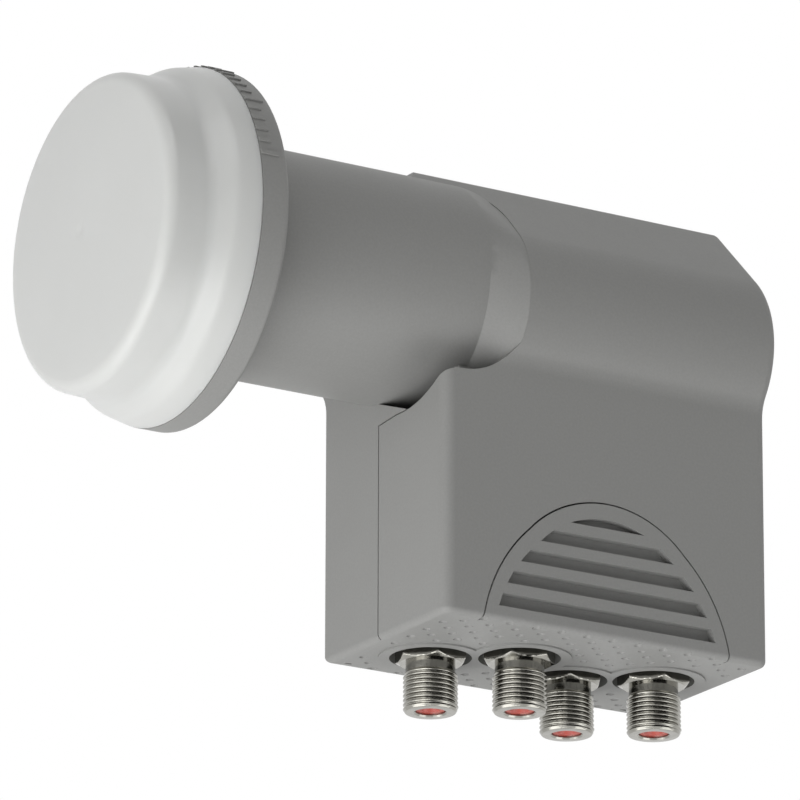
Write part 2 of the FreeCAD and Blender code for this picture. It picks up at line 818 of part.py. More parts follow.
def chin():
    """Fairing that swells out of the neck's underside to the mouth, and the fill behind it."""
    full = [
        (mouth_left_x, mouth_left_z),
        (mouth_low_x, mouth_low_z),
        (chin_right_x, chin_right_z),
        (chin_inner_x, chin_inner_z),
    ]
    root_points = []
    for x, z in full[:3]:
        reach = math.hypot(x.number, z.number)
        root_points.append((chin_root_radius * (x.number / reach),
                            chin_root_radius * (z.number / reach)))
    root_points.append(full[3])
    between = [(u + (x - u) * share, v + (z - v) * share)
               for (u, v), (x, z), share in zip(root_points, full, CHIN_SHARES)]
    middle_arc = chin_root_radius + (mouth_arc - chin_root_radius) / 2
    start = outline_on("XZ", "chin_start", root_points, {1: (chin_root_radius, True)}, y=chin_start)
    middle = outline_on("XZ", "chin_middle", between, {1: (middle_arc, True)}, y=chin_middle)
    end = outline_on("XZ", "chin_end", full, {1: (mouth_arc, True)}, y=housing_front)
    fill = outline_on("XZ", "chin_fill", full, {1: (mouth_arc, True)}, y=housing_front)
    swell = loft("chin_swell", start, middle, end)
    return fuse("chin", swell, extrude("chin_back", fill, Y_AXIS, chin_end - housing_front))


def neck_outside():
    """Neck tube, collar and fairing, cut off where the housing begins."""
    tube = rod("neck_tube", "y", neck_radius, ring_back - overlap,
               collar_start - ring_back + overlap)
    trim = mouth_from_side("neck_trim", ring_front, ring_radius, mouth_low_y,
                           (mouth_low_y, mouth_low_rise))
    round_neck = common("round_neck", fuse("neck_solid", tube, collar()), trim)
    return fuse("neck_outside", round_neck, chin())


def neck_shell(neck, hollow, near_shell, far_shell):
    """Far half of the housing in one moulding with the neck, the ring and the collar."""
    ring_inner = ring_radius - ring_wall
    ring_sketch = outline_on("XY", "ring", [
        (neck_bore_radius, ring_floor),
        (ring_inner, ring_floor),
        (ring_inner, ring_front),
        (ring_radius, ring_front),
        (ring_radius, ring_back - ring_edge),
        (ring_radius - ring_edge, ring_back),
        (neck_bore_radius, ring_back),
    ], {4: (ring_edge, True)})
    ring = DOC.addObject("Part::Revolution", "ring_solid")
    ring.Source = ring_sketch
    ring.Axis = Y_AXIS
    ring.Angle = 360
    ring.Solid = True
    bulk_block = block("bulkhead_block", (-half_width, half_width), (collar_end, bulkhead_back),
                       (mouth_low_z - bulkhead_skirt, roof_height))
    bulk = common("bulkhead_plate", hollow, bulk_block)
    far_block = block("far_block", (-half_width * 2, seam_x), (ring_back, housing_back + overlap),
                      (-(housing_depth + overlap), roof_height + overlap))
    far_half = common("far_half", far_shell, far_block)
    wedge = common("front_wedge", near_shell, seam_wedge("wedge_form", as_size(0), wall))
    solid = fuse("neck_shell_solid", neck, ring, bulk, far_half, wedge, *scale_ticks())
    bore = rod("neck_bore", "y", neck_bore_radius, ring_floor - overlap,
               bulkhead_back - ring_floor + overlap * 2)
    finish(cut("neck_shell", solid, bore), "neck_shell")


def side_cover(neck, form, near_shell):
    """Near half of the housing, cut round the neck, with a thin step along the seam."""
    near_block = block("near_block", (seam_x, half_width * 2), (ring_back, housing_back + overlap),
                       (-(housing_depth + overlap), roof_height + overlap))
    near_half = common("near_half", cut("cover_shell", near_shell, mouth_from_front()), near_block)
    wedge = seam_wedge("cover_wedge", as_size(0), wall + overlap)
    wedge_step = seam_wedge("wedge_step", seam_gap, seam_depth)
    corners, arcs = housing_section(seam_depth, housing_depth)
    skin_sketch = outline_on("XZ", "seam_core", corners, arcs, y=housing_front + seam_depth)
    core = extrude("seam_core", skin_sketch, Y_AXIS,
                   housing_back - housing_front - seam_depth * 2)
    strip = block("seam_strip", (seam_x, seam_x + seam_gap),
                  (housing_front - overlap, housing_back + overlap),
                  (-housing_depth, roof_height + overlap))
    seam = common("seam_step", strip, cut("seam_skin", form, core))
    finish(cut("side_cover", near_half, wedge, wedge_step, seam, neck), "side_cover")


def base_grille(form, shell):
    """Base plate with four wells, raised lands and a louvred arch up each side wall."""
    inner = half_width - wall
    front = housing_front + wall
    back = housing_back - wall
    plate = block("base_plate", (-inner, inner), (front, back), (-housing_depth, chassis_floor))
    tab = block("base_tab", (-half_width, half_width),
                (arch_middle - arch_foot_y, arch_middle + arch_foot_y),
                (-housing_depth, chassis_floor))
    arch = arch_prism("arch_form", as_size(0), -(housing_depth + overlap))
    arches = common("arch_walls", shell, arch)
    tabs = common("arch_tabs", form, tab, arch)
    lands = []
    wells = []
    for i, (x, y) in enumerate(port_places, 1):
        lands.append(rod(f"land_{i}", "z", land_radius, -housing_depth - land_height,
                         land_height + wall / 2, x=x, y=y))
        wells.append(rod(f"well_{i}", "z", port_well_radius, -housing_depth - overlap,
                         wall + overlap * 2, x=x, y=y))
    slots = []
    for i in range(SLOT_COUNT):
        low = slot_first + slot_step * i
        for side, x in (("near", (half_width - slot_recess, half_width + overlap)),
                        ("far", (-half_width - overlap, slot_recess - half_width))):
            slots.append(block(f"slot_{side}_{i + 1}", x, (front, back), (low, low + slot_height)))
    slot_area = arch_prism("slot_area", -arch_border, slot_first - overlap)
    louvres = common("louvres", slot_area, fuse("slot_rows", *slots))
    solid = fuse("base_solid", plate, arches, tabs, *lands)
    finish(cut("base_grille", solid, louvres, *wells), "base_grille")


# Chassis, lid and boards

def stepped_outline(name, low_front, high_front, back, floor, shoulder, top, x):
    """Outline with a lower part that reaches further forward, seen from the side."""
    corners = [
        (low_front, floor), (back, floor), (back, top),
        (high_front, top), (high_front, shoulder), (low_front, shoulder),
    ]
    return outline_on("YZ", name, corners, x=x)


def chambers(name, start, end):
    """Upper and lower chamber between two heights, inside the rim."""
    low = block(f"{name}_low", (start, end),
                (chassis_low_front + chassis_rim, chassis_back - chassis_rim),
                (chassis_floor + chassis_rim, divider_low))
    high = block(f"{name}_high", (start, end),
                 (bulkhead_back + chassis_rim, chassis_back - chassis_rim),
                 (divider_high, lid_top - chassis_rim))
    return low, high


SCREW_PLACES = [
    (24.5, -58.3), (51.0, -58.3), (77.5, -58.3), (77.5, -26.0),
    (77.5, 3.5), (66.0, 3.5), (36.2, -15.0), (40.5, -26.0),
]


def screw_rods(name, radius, start, end):
    """One rod for each lid screw."""
    return [rod(f"{name}_{i}", "x", radius, start, as_size(end) - start, y=y, z=z)
            for i, (y, z) in enumerate(SCREW_PLACES, 1)]


def chassis():
    """Cast body with the end of the waveguide, two board pockets and the socket holes."""
    outline = stepped_outline("chassis", chassis_low_front, bulkhead_back, chassis_back,
                              chassis_floor, chassis_shoulder, chassis_top, chassis_far)
    solid = extrude("chassis_solid", outline, X_AXIS, chassis_face - chassis_far)
    low_front = chassis_low_front + chassis_rim
    back = chassis_back - chassis_rim
    if_pocket = block("if_pocket", (if_ledge, chassis_face + overlap), (low_front, back),
                      (chassis_floor + chassis_rim, divider_low))
    deep_pocket = block("deep_pocket", (pocket_floor, if_ledge + overlap),
                        (low_front + pocket_ledge, back - pocket_ledge),
                        (pocket_bottom, divider_low - pocket_ledge))
    rf_pocket = block("rf_pocket", (rf_floor, chassis_face + overlap),
                      (bulkhead_back + chassis_rim, back), (divider_high, lid_top - chassis_rim))
    notch = block("link_notch", (rf_top, chassis_face + overlap), (47.5, 58.5),
                  (divider_low - overlap, divider_high + overlap))
    guide = rod("guide_bore", "y", guide_radius, bulkhead_back - overlap,
                guide_end - bulkhead_back + overlap)
    seat = rod("horn_seat", "y", horn_tube_radius, bulkhead_back - overlap,
               horn_end - bulkhead_back + overlap)
    holes = [rod(f"port_hole_{i}", "z", port_shank_radius, chassis_floor - overlap,
                 pocket_bottom - chassis_floor + overlap, x=x, y=y)
             for i, (x, y) in enumerate(port_places, 1)]
    sleeves = [rod(f"sleeve_hole_{i}", "x", sleeve_radius, sleeve_start,
                   rf_floor - sleeve_start + overlap / 2, y=y)
               for i, y in enumerate((probe_y, bent_probe_y), 1)]
    pin = rod("pin_hole", "x", pin_radius, pocket_floor, rf_floor - 0.4 - pocket_floor, y=pin_y)
    threads = screw_rods("screw_hole", screw_radius, screw_reach, chassis_face + overlap)
    tools = [if_pocket, deep_pocket, rf_pocket, notch, guide, seat, pin]
    finish(cut("chassis", solid, *tools, *holes, *sleeves, *threads), "chassis")


def lid_gasket():
    """Thin sealing frame between chassis and lid."""
    outline = stepped_outline("gasket", chassis_low_front, bulkhead_back, chassis_back,
                              chassis_floor, chassis_shoulder, lid_top, chassis_face)
    sheet = extrude("gasket_sheet", outline, X_AXIS, gasket)
    windows = chambers("gasket_window", chassis_face - overlap, lid_start + overlap)
    holes = screw_rods("gasket_hole", screw_radius, chassis_face - overlap, lid_start + overlap)
    finish(cut("lid_gasket", sheet, *windows, *holes), "lid_gasket")


def chassis_lid():
    """Screening lid with a chamber over each board and a hole for each screw."""
    outline = stepped_outline("lid", chassis_low_front, bulkhead_back, chassis_back,
                              chassis_floor, chassis_shoulder, lid_top, lid_start)
    solid = extrude("lid_solid", outline, X_AXIS, lid_height)
    rooms = chambers("lid_chamber", lid_start - overlap, lid_end - lid_skin)
    holes = screw_rods("lid_hole", screw_radius, lid_start - overlap, lid_end + overlap)
    tuners = [rod(f"tuner_hole_{i}", "x", tuner_radius, lid_end - lid_skin - overlap,
                  lid_skin + overlap * 2, y=y, z=puck_z)
              for i, y in enumerate((low_puck_y, high_puck_y), 1)]
    finish(cut("chassis_lid", solid, *rooms, *holes, *tuners), "chassis_lid")


def lid_screws():
    """Screws of the lid, each a shank with a flat head."""
    shanks = screw_rods("screw_shank", screw_radius, screw_reach, lid_end)
    heads = screw_rods("screw_head", screw_head_radius, lid_end, lid_end + screw_head)
    screws = [fuse(f"lid_screw_{i}", shank, head)
              for i, (shank, head) in enumerate(zip(shanks, heads), 1)]
    finish(group("lid_screws", *screws), "lid_screws")


def boards():
    """The two boards, with holes where the probes pass."""
    gap = board_gap
    low_front = chassis_low_front + chassis_rim + gap
    high_front = bulkhead_back + chassis_rim + gap
    back = chassis_back - chassis_rim - gap
    rf = block("rf_sheet", (rf_floor, rf_top), (high_front, back),
               (divider_high + gap, lid_top - chassis_rim - gap))
    holes = [rod(f"probe_hole_{i}", "x", probe_radius, rf_floor - overlap, overlap * 3, y=y)
             for i, y in enumerate((probe_y, bent_probe_y), 1)]
    finish(cut("rf_board", rf, *holes), "rf_board")
    lower = block("if_board", (if_ledge, if_top), (low_front, back),
                  (chassis_floor + chassis_rim + gap, divider_low - gap))
    finish(lower, "if_board")


def probes():
    """Straight and bent probe, their sleeves and the pin between them."""
    straight = rod("vertical_probe", "x", probe_radius, probe_tip, probe_end - probe_tip, y=probe_y)
    finish(straight, "vertical_probe")
    stem = rod("bent_stem", "x", probe_radius, bent_probe_x, probe_end - bent_probe_x,
               y=bent_probe_y)
    arm = rod("bent_arm", "z", probe_radius, 0, bent_probe_rise, x=bent_probe_x, y=bent_probe_y)
    knee = DOC.addObject("Part::Sphere", "bent_knee")
    bind(knee, "Radius", probe_radius)
    place(knee, bent_probe_x, bent_probe_y)
    finish(fuse("horizontal_probe", stem, arm, knee), "horizontal_probe")
    sleeves = []
    for i, y in enumerate((probe_y, bent_probe_y), 1):
        outside = rod(f"sleeve_{i}", "x", sleeve_radius, sleeve_start, rf_floor - sleeve_start, y=y)
        inside = rod(f"sleeve_bore_{i}", "x", probe_radius, sleeve_start - overlap,
                     rf_floor - sleeve_start + overlap * 2, y=y)
        sleeves.append(cut(f"probe_sleeve_{i}", outside, inside))
    finish(group("probe_sleeves", *sleeves), "probe_sleeves")
    pin = rod("isolation_pin", "x", pin_radius, pocket_floor, rf_floor - 0.4 - pocket_floor, y=pin_y)
    finish(pin, "isolation_pin")


def chip(name, base, height, y, z, long, wide):
    """Small flat block on a board, centred on y and z."""
    return block(name, (base, as_size(base) + height), (y - long / 2, y + long / 2),
                 (z - wide / 2, z + wide / 2))


def board_parts():
    """Resonators, tuning screws, chips and the link between the boards."""
    for label, y in (("low_resonator", low_puck_y), ("high_resonator", high_puck_y)):
        finish(rod(label, "x", puck_radius, rf_top, puck_height, y=y, z=puck_z), label)
    tuners = [rod(f"tuner_{i}", "x", tuner_radius, tuner_start, tuner_end - tuner_start,
                  y=y, z=puck_z)
              for i, y in enumerate((low_puck_y, high_puck_y), 1)]
    finish(group("tuning_screws", *tuners), "tuning_screws")
    amplifiers = [chip(f"amplifier_{y}_{z}", rf_top, 0.8, y, -z, 1.8, 1.8)
                  for y in (42, 48) for z in (6, 12, 18)]
    finish(group("amplifier_transistors", *amplifiers), "amplifier_transistors")
    mixers = [chip(f"mixer_{i}", rf_top, 0.9, 64, z, 3, 3) for i, z in ((1, -20), (2, -6))]
    finish(group("mixer_chips", *mixers), "mixer_chips")
    finish(chip("switch_chip", if_top, 1.2, 40, -42, 7, 7), "switch_chip")
    finish(chip("voltage_regulator", if_top, 2.2, 67, -47, 6.5, 6), "voltage_regulator")
    strip = block("link_strip", (rf_top, rf_top + 0.3), (48, 58), (-29.8, -22))
    header = block("link_header", (if_top, rf_top), (48, 58), (-29.8, -28.3))
    finish(fuse("board_link", strip, header), "board_link")


# Sockets

def f_port(number, x, y):
    """One socket: body with hexagon, washer, insulator and centre contact."""
    name = f"f_port_{number}"
    shank_top = pocket_bottom - overlap / 2
    washer_bottom = chassis_floor - port_washer
    body = new_body(name + "_body")
    profile = body_sketch(body, "XZ_Plane", name + "_profile")
    draw_outline(profile, [
        (port_bore_radius, port_tip),
        (port_thread_radius - port_chamfer, port_tip),
        (port_thread_radius, port_tip + port_chamfer),
        (port_thread_radius, port_thread_top),
        (port_shank_radius, port_thread_top),
        (port_shank_radius, shank_top),
        (port_bore_radius, shank_top),
    ])
    turn(body, profile, name + "_turned")
    flats = body_sketch(body, "XY_Plane", name + "_flats", washer_bottom)
    corner = port_hex_across / math.sqrt(3)
    turns = [math.radians(60 * i) for i in range(6)]
    draw_outline(flats, [(corner * math.cos(a), corner * math.sin(a)) for a in turns])
    hexagon = pad(body, flats, washer_bottom - port_hex_bottom, name + "_hexagon", back=True)
    bore = body_sketch(body, "XY_Plane", name + "_bore", washer_bottom)
    hole = bore.addGeometry(Part.Circle(V(), Z_AXIS, port_bore_radius.number))
    bore.addConstraint(Sketcher.Constraint("Coincident", hole, 3, -1, 1))
    at = bore.addConstraint(Sketcher.Constraint("Radius", hole, port_bore_radius.number))
    bore.setExpression(f"Constraints[{at}]", port_bore_radius.text)
    pocket(body, bore, washer_bottom - port_hex_bottom, name + "_through")
    DOC.recompute()
    if body.Shape.Volume >= hexagon.Shape.Volume:
        raise RuntimeError(f"{name}: the bore cuts nothing")
    place(body, x, y)
    finish(body, name + "_body")
    disc = rod(name + "_disc", "z", port_washer_radius, washer_bottom, port_washer, x=x, y=y)
    eye = rod(name + "_eye", "z", port_shank_radius, washer_bottom - overlap,
              port_washer + overlap * 2, x=x, y=y)
    finish(cut(name + "_washer", disc, eye), name + "_washer")
    plug = rod(name + "_plug", "z", port_bore_radius, port_insulator_end,
               shank_top - port_insulator_end, x=x, y=y)
    core = rod(name + "_core", "z", contact_radius, port_insulator_end - overlap,
               shank_top - port_insulator_end + overlap * 2, x=x, y=y)
    finish(cut(name + "_insulator", plug, core), name + "_insulator")
    stem = rod(name + "_stem", "z", contact_radius, contact_end, contact_bend - contact_end,
               x=x, y=y)
    arm = rod(name + "_arm", "x", contact_radius, x, if_ledge - x, y=y, z=contact_bend)
    knee = DOC.addObject("Part::Sphere", name + "_knee")
    bind(knee, "Radius", contact_radius)
    place(knee, x, y, contact_bend)
    finish(fuse(name + "_contact", stem, arm, knee), name + "_contact")


# The whole object

def build():
    """Model every piece."""
    feed_cap()
    square_seal("cap_seal_ring", cap_spigot_inner, seal_width, ring_floor - seal_width)
    feed_horn()
    square_seal("waveguide_seal", horn_tube_radius, guide_seal_width,
                bulkhead_back - guide_seal_width)
    form, hollow, shell, near_shell, far_shell = housing_parts()
    neck = neck_outside()
    neck_shell(neck, hollow, near_shell, far_shell)
    side_cover(neck, form, near_shell)
    base_grille(form, shell)
    chassis()
    lid_gasket()
    chassis_lid()
    lid_screws()
    boards()
    probes()
    board_parts()
    for number, (x, y) in enumerate(port_places, 1):
        f_port(number, x, y)
    DOC.recompute()


def check():
    """Stop if any object failed or any piece is unsound."""
    for item in DOC.Objects:
        if "Invalid" in item.State or "Error" in item.State:
            raise RuntimeError(f"{item.Label} is {item.State}")
    for node in NODES:
        if node.Shape.isNull() or not node.Shape.isValid() or node.Shape.Volume <= 0:
            raise RuntimeError(f"{node.Label} has no sound solid")


def export():
    """Write one file for each piece."""
    os.makedirs("parts", exist_ok=True)
    for node in NODES:
        node.Shape.exportStep(f"parts/{node.Label}.step")
        print(f"{node.Label}: {node.Shape.Volume:.1f} mm3, {len(node.Shape.Solids)} solids")


build()
check()
export()
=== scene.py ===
"""Looks of a four output satellite LNB: shells, dimpled base, cap, sockets and studio.

The file is laid out as an add-on and is run as a script. It works in metres in the frame of
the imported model: the feed looks along -Y, the cover faces +X and the sockets point along -Z.
Sizes in the code are millimetres, and MM turns them to metres where a mesh is written.
"""

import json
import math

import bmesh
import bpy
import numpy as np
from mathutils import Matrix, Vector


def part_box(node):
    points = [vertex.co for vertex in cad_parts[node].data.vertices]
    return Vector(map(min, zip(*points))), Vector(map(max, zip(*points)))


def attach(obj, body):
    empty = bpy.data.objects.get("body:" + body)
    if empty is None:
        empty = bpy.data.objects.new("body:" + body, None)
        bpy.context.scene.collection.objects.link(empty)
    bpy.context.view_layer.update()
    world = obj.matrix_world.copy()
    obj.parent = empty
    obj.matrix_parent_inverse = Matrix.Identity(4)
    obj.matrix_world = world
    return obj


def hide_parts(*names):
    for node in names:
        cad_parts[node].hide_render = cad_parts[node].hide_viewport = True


bl_info = {
    "name": "Satellite LNB looks",
    "version": (1, 0, 0),
    "blender": (4, 5, 0),
    "location": "View3D > Sidebar > LNB",
    "description": "Finishes, cap, socket threads, dimpled base and studio for a four output LNB",
    "category": "Object",
}

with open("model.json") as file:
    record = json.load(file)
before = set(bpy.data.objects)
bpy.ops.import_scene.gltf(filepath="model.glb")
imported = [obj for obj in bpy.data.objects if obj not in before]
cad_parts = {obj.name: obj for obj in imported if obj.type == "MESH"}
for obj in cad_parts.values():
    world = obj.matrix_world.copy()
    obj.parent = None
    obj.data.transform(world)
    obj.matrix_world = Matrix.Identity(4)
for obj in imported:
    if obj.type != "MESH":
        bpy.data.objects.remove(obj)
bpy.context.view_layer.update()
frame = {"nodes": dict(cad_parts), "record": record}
MM = 0.001
NODES = frame["nodes"]
SOCKETS = ("f_port_1", "f_port_2", "f_port_3", "f_port_4")
# Where one corner of each socket's hexagon points, in degrees from the cover's side.
HEXAGON_TURNS = (-19.3, -45.4, -27.0, -14.6)
# Share of the solids' height that the marks on the ring keep.
MARK_SHARE = 0.7
# Edges of the shells sharper than this many degrees stay crisp.
SHELL_EDGE = 28
# Soft lamps: name, azimuth, elevation, distance and size in metres, power in watts.
LAMPS = (
    ("key_from_below", 35, -40, 0.9, 0.6, 3.1),
    ("side_from_below", -12, -45, 0.9, 0.6, 1.5),
    ("fill_from_below", -30, -60, 0.85, 0.6, 0.8),
    ("fill_from_front", 10, -22, 0.9, 0.7, 2.1),
    ("edge_from_behind", 140, -50, 0.9, 0.6, 1.7),
    ("fill_from_above", 66, 55, 0.9, 0.6, 1.9),
)
LAMP_TARGET = (0, 20 * MM, -20 * MM)
# Dark card: azimuth, elevation, distance, width and height in metres.
CARD = (84, 20, 1.0, 2.0, 3.6)
CARD_TARGET = (0, 50 * MM, -60 * MM)


def box_mm(node):
    """Lowest and highest corner of a CAD node in millimetres."""
    low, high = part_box(node)
    return np.array(low) / MM, np.array(high) / MM


# Colours and nodes

def linear(code):
    """Turn an sRGB hex colour into linear red, green, blue and alpha."""
    parts = [int(code[i:i + 2], 16) / 255 for i in (1, 3, 5)]
    return tuple(p / 12.92 if p <= 0.04045 else ((p + 0.055) / 1.055) ** 2.4
                 for p in parts) + (1.0,)


def add_node(tree, kind, inputs=None, **settings):
    """Add one node; inputs maps a socket's name or number to a value or another's output."""
    node = tree.nodes.new("ShaderNode" + kind)
    for name, value in settings.items():
        setattr(node, name, value)
    for socket, value in (inputs or {}).items():
        if isinstance(value, bpy.types.NodeSocket):
            tree.links.new(value, node.inputs[socket])
        else:
            node.inputs[socket].default_value = value
    return node


def new_material(name, **shader):
    """Empty material with a Principled shader; returns it, its tree, shader and coordinates."""
    material = bpy.data.materials.new(name)
    material.use_nodes = True
    tree = material.node_tree
    tree.nodes.clear()
    principled = add_node(tree, "BsdfPrincipled", {k.replace("_", " "): v for k, v in shader.items()})
    add_node(tree, "OutputMaterial", {"Surface": principled.outputs["BSDF"]})
    place = add_node(tree, "TexCoord").outputs["Object"]
    return material, tree, principled, place


def grains_per_metre(size_mm):
    """Scale of a noise whose grains are about this wide."""
    return 1.0 / (size_mm * MM)


def mottle(tree, place, size_mm, dark, light):
    """Colour that drifts between two tones in patches of this size."""
    noise = add_node(tree, "TexNoise", {
        "Vector": place, "Scale": grains_per_metre(size_mm), "Detail": 2.0})
    blend = add_node(tree, "Mix", {0: noise.outputs["Fac"], 6: linear(dark), 7: linear(light)},
                     data_type="RGBA")
    return blend.outputs[2]


def grain_bump(tree, place, size_mm, depth_mm, detail):
    """Bump of a grain this wide and this deep."""
    noise = add_node(tree, "TexNoise", {
        "Vector": place, "Scale": grains_per_metre(size_mm), "Detail": detail})
    bump = add_node(tree, "Bump", {
        "Height": noise.outputs["Fac"], "Distance": depth_mm * MM, "Strength": 1.0})
    return bump.outputs["Normal"]


def varied_roughness(tree, place, size_mm, low, high):
    """Roughness that drifts between two values in patches of this size."""
    noise = add_node(tree, "TexNoise", {
        "Vector": place, "Scale": grains_per_metre(size_mm), "Detail": 2.0})
    return add_node(tree, "MapRange", {0: noise.outputs["Fac"], 3: low, 4: high}).outputs[0]


# Finishes

def worked_surface(name, tones, patch_mm, roughness, drift_mm, grain_mm=None, depth_mm=None,
                   detail=3.0, **shader):
    """Material of one process: drifting tones and roughness, and a grain where it has one."""
    material, tree, principled, place = new_material(name, **shader)
    tree.links.new(mottle(tree, place, patch_mm, *tones), principled.inputs["Base Color"])
    tree.links.new(varied_roughness(tree, place, drift_mm, *roughness),
                   principled.inputs["Roughness"])
    if grain_mm:
        tree.links.new(grain_bump(tree, place, grain_mm, depth_mm, detail),
                       principled.inputs["Normal"])
    return material


def asa_housing(settings):
    """ASA, injection moulded in a spark eroded tool: mid grey with a fine even grain."""
    # The real grain is about 0.1 mm wide and is drawn coarser, so that it shows in the render.
    return worked_surface(
        "moulded_grey_asa", (settings.housing_dark, settings.housing_light), patch_mm=0.45,
        roughness=(0.52, 0.60), drift_mm=6.0, grain_mm=0.35, depth_mm=0.02, IOR=1.52)


def polypropylene_cap(settings):
    """Polypropylene, moulded in a polished tool: smooth, slightly see-through light grey."""
    return worked_surface(
        "polished_polypropylene", (settings.cap_dark, settings.cap_light), patch_mm=22.0,
        roughness=(0.29, 0.35), drift_mm=9.0, grain_mm=7.0, depth_mm=0.02, detail=1.0,
        IOR=1.49, Subsurface_Weight=0.6, Subsurface_Scale=0.003,
        Subsurface_Radius=(1.0, 0.97, 0.94))


def nickel_plate(settings):
    """Bright nickel on turned brass: mirror-like, slightly uneven, with the faintest warmth."""
    return worked_surface(
        "bright_nickel_plate", (settings.nickel_dark, settings.nickel_light), patch_mm=1.6,
        roughness=(0.10, 0.20), drift_mm=0.8, grain_mm=0.5, depth_mm=0.012, Metallic=1.0)


def red_insulator():
    """Glass filled polymer in terracotta red, turned, with a soft gloss."""
    return worked_surface(
        "terracotta_polymer", ("#9c3f36", "#bd574b"), patch_mm=0.8, roughness=(0.25, 0.4),
        drift_mm=1.0, grain_mm=0.4, depth_mm=0.02, IOR=1.5)


def cast_aluminium():
    """Die cast aluminium, tumbled: dull grey metal with a fine orange peel."""
    return worked_surface(
        "die_cast_aluminium", ("#a3a5a7", "#b7b9ba"), patch_mm=3.0, roughness=(0.42, 0.55),
        drift_mm=2.0, grain_mm=0.5, depth_mm=0.03, Metallic=1.0)


def zinc_steel():
    """Zinc plated steel: pale and slightly blue, with a soft sheen."""
    return worked_surface(
        "zinc_plated_steel", ("#9fa3a8", "#b9bcc0"), patch_mm=0.7, roughness=(0.25, 0.4),
        drift_mm=0.6, Metallic=1.0)


def contact_metal():
    """Tin plated spring bronze: warm bright metal, lightly scuffed."""
    return worked_surface(
        "plated_bronze", ("#b98f4e", "#d3b176"), patch_mm=0.5, roughness=(0.2, 0.35),
        drift_mm=0.5, Metallic=1.0)


def nitrile_rubber():
    """Nitrile rubber, moulded: soft black with a faint dusty bloom."""
    return worked_surface(
        "nitrile_rubber", ("#161616", "#262625"), patch_mm=1.5, roughness=(0.6, 0.75),
        drift_mm=1.0, IOR=1.52)


def laminate(name, dark, light):
    """Glass cloth laminate: the cloth's weave shows faintly under the surface."""
    material, tree, shader, place = new_material(name, IOR=1.5, Roughness=0.45)
    thread_mm = 0.5
    weave = add_node(tree, "TexChecker", {
        "Vector": place, "Scale": grains_per_metre(thread_mm), 1: linear(dark), 2: linear(light)})
    tree.links.new(weave.outputs["Color"], shader.inputs["Base Color"])
    return material


def small_moulding(name, tones, grain_mm, roughness):
    """Small moulded or fired part: even colour that drifts with its fine grain."""
    return worked_surface(name, tones, patch_mm=grain_mm, roughness=roughness,
                          drift_mm=grain_mm, IOR=1.5)


def make_finishes(settings):
    """Every finish under the name of the record's slot that it dresses."""
    return {
        "housing_grey": asa_housing(settings),
        "cap_white": polypropylene_cap(settings),
        "bright_nickel": nickel_plate(settings),
        "red_polymer": red_insulator(),
        "casting": cast_aluminium(),
        "steel": zinc_steel(),
        "contact_brass": contact_metal(),
        "seal_rubber": nitrile_rubber(),
        "rf_laminate": laminate("ptfe_glass_laminate", "#b9b492", "#c6c2a4"),
        "green_laminate": laminate("solder_masked_laminate", "#14502a", "#1b5f34"),
        "white_polymer": small_moulding("ptfe", ("#dcdcd8", "#e8e8e5"), grain_mm=1.0,
                                        roughness=(0.35, 0.5)),
        "ceramic": small_moulding("fired_ceramic", ("#c2ad88", "#d0bd9b"), grain_mm=0.4,
                                  roughness=(0.4, 0.6)),
        "chip_black": small_moulding("epoxy_package", ("#101011", "#1b1b1d"), grain_mm=0.3,
                                     roughness=(0.45, 0.6)),
    }


# Meshes

def new_piece(name, mesh, slot, *nodes):
    """Object of a mesh that rides on the part, wears a slot's finish and stands for nodes."""
    piece = bpy.data.objects.new(name, mesh)
    bpy.context.scene.collection.objects.link(piece)
    mesh.materials.clear()
    mesh.materials.append(FINISHES[slot])
    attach(piece, "root")
    if nodes:
        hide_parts(*nodes)
    return piece


def merged_copy(node):
    """Copy of a CAD node's mesh with its loose triangles joined and its flats whole."""
    weld_mm, flat_angle = 0.0005, 0.3
    source = NODES[node].data
    count = len(source.vertices)
    points = np.empty(count * 3, np.float32)
    source.vertices.foreach_get("co", points)
    corners = np.empty(len(source.loops), np.int32)
    source.loops.foreach_get("vertex_index", corners)
    mesh = bpy.data.meshes.new(node + "_skin")
    mesh.from_pydata(points.reshape(-1, 3), [], corners.reshape(-1, 3))
    form = bmesh.new()
    form.from_mesh(mesh)
    bmesh.ops.remove_doubles(form, verts=form.verts, dist=weld_mm * MM)
    bmesh.ops.dissolve_limit(form, angle_limit=math.radians(flat_angle), verts=form.verts,
                             edges=form.edges)
    form.to_mesh(mesh)
    form.free()
    return mesh


def smooth_walls(mesh, angle):
    """Smooth shading with a crisp line at every edge sharper than this angle in degrees."""
    mesh.shade_smooth()
    mesh.set_sharp_from_angle(angle=math.radians(angle))


def finish_shell(piece):
    """Smooth a moulded shell's rounds and keep its flats flat."""
    smooth_walls(piece.data, SHELL_EDGE)
    weighted = piece.modifiers.new("flat walls", "WEIGHTED_NORMAL")
    weighted.keep_sharp = True


def volume(points, faces):
    """Signed volume of a closed mesh: each face's fan of tetrahedra about the origin, summed."""
    total = 0.0
    for second in range(1, faces.shape[1] - 1):
        a, b, c = points[faces[:, 0]], points[faces[:, second]], points[faces[:, second + 1]]
        total += np.einsum("ij,ij->i", a, np.cross(b, c)).sum() / 6
    return total


def write_mesh(name, points, groups):
    """Mesh in metres from points in millimetres and arrays of faces, all facing outwards."""
    if sum(volume(points, faces) for faces in groups) < 0:
        groups = [faces[:, ::-1] for faces in groups]
    mesh = bpy.data.meshes.new(name)
    mesh.from_pydata(points * MM, [], [face for faces in groups for face in faces.tolist()])
    mesh.validate()
    return mesh


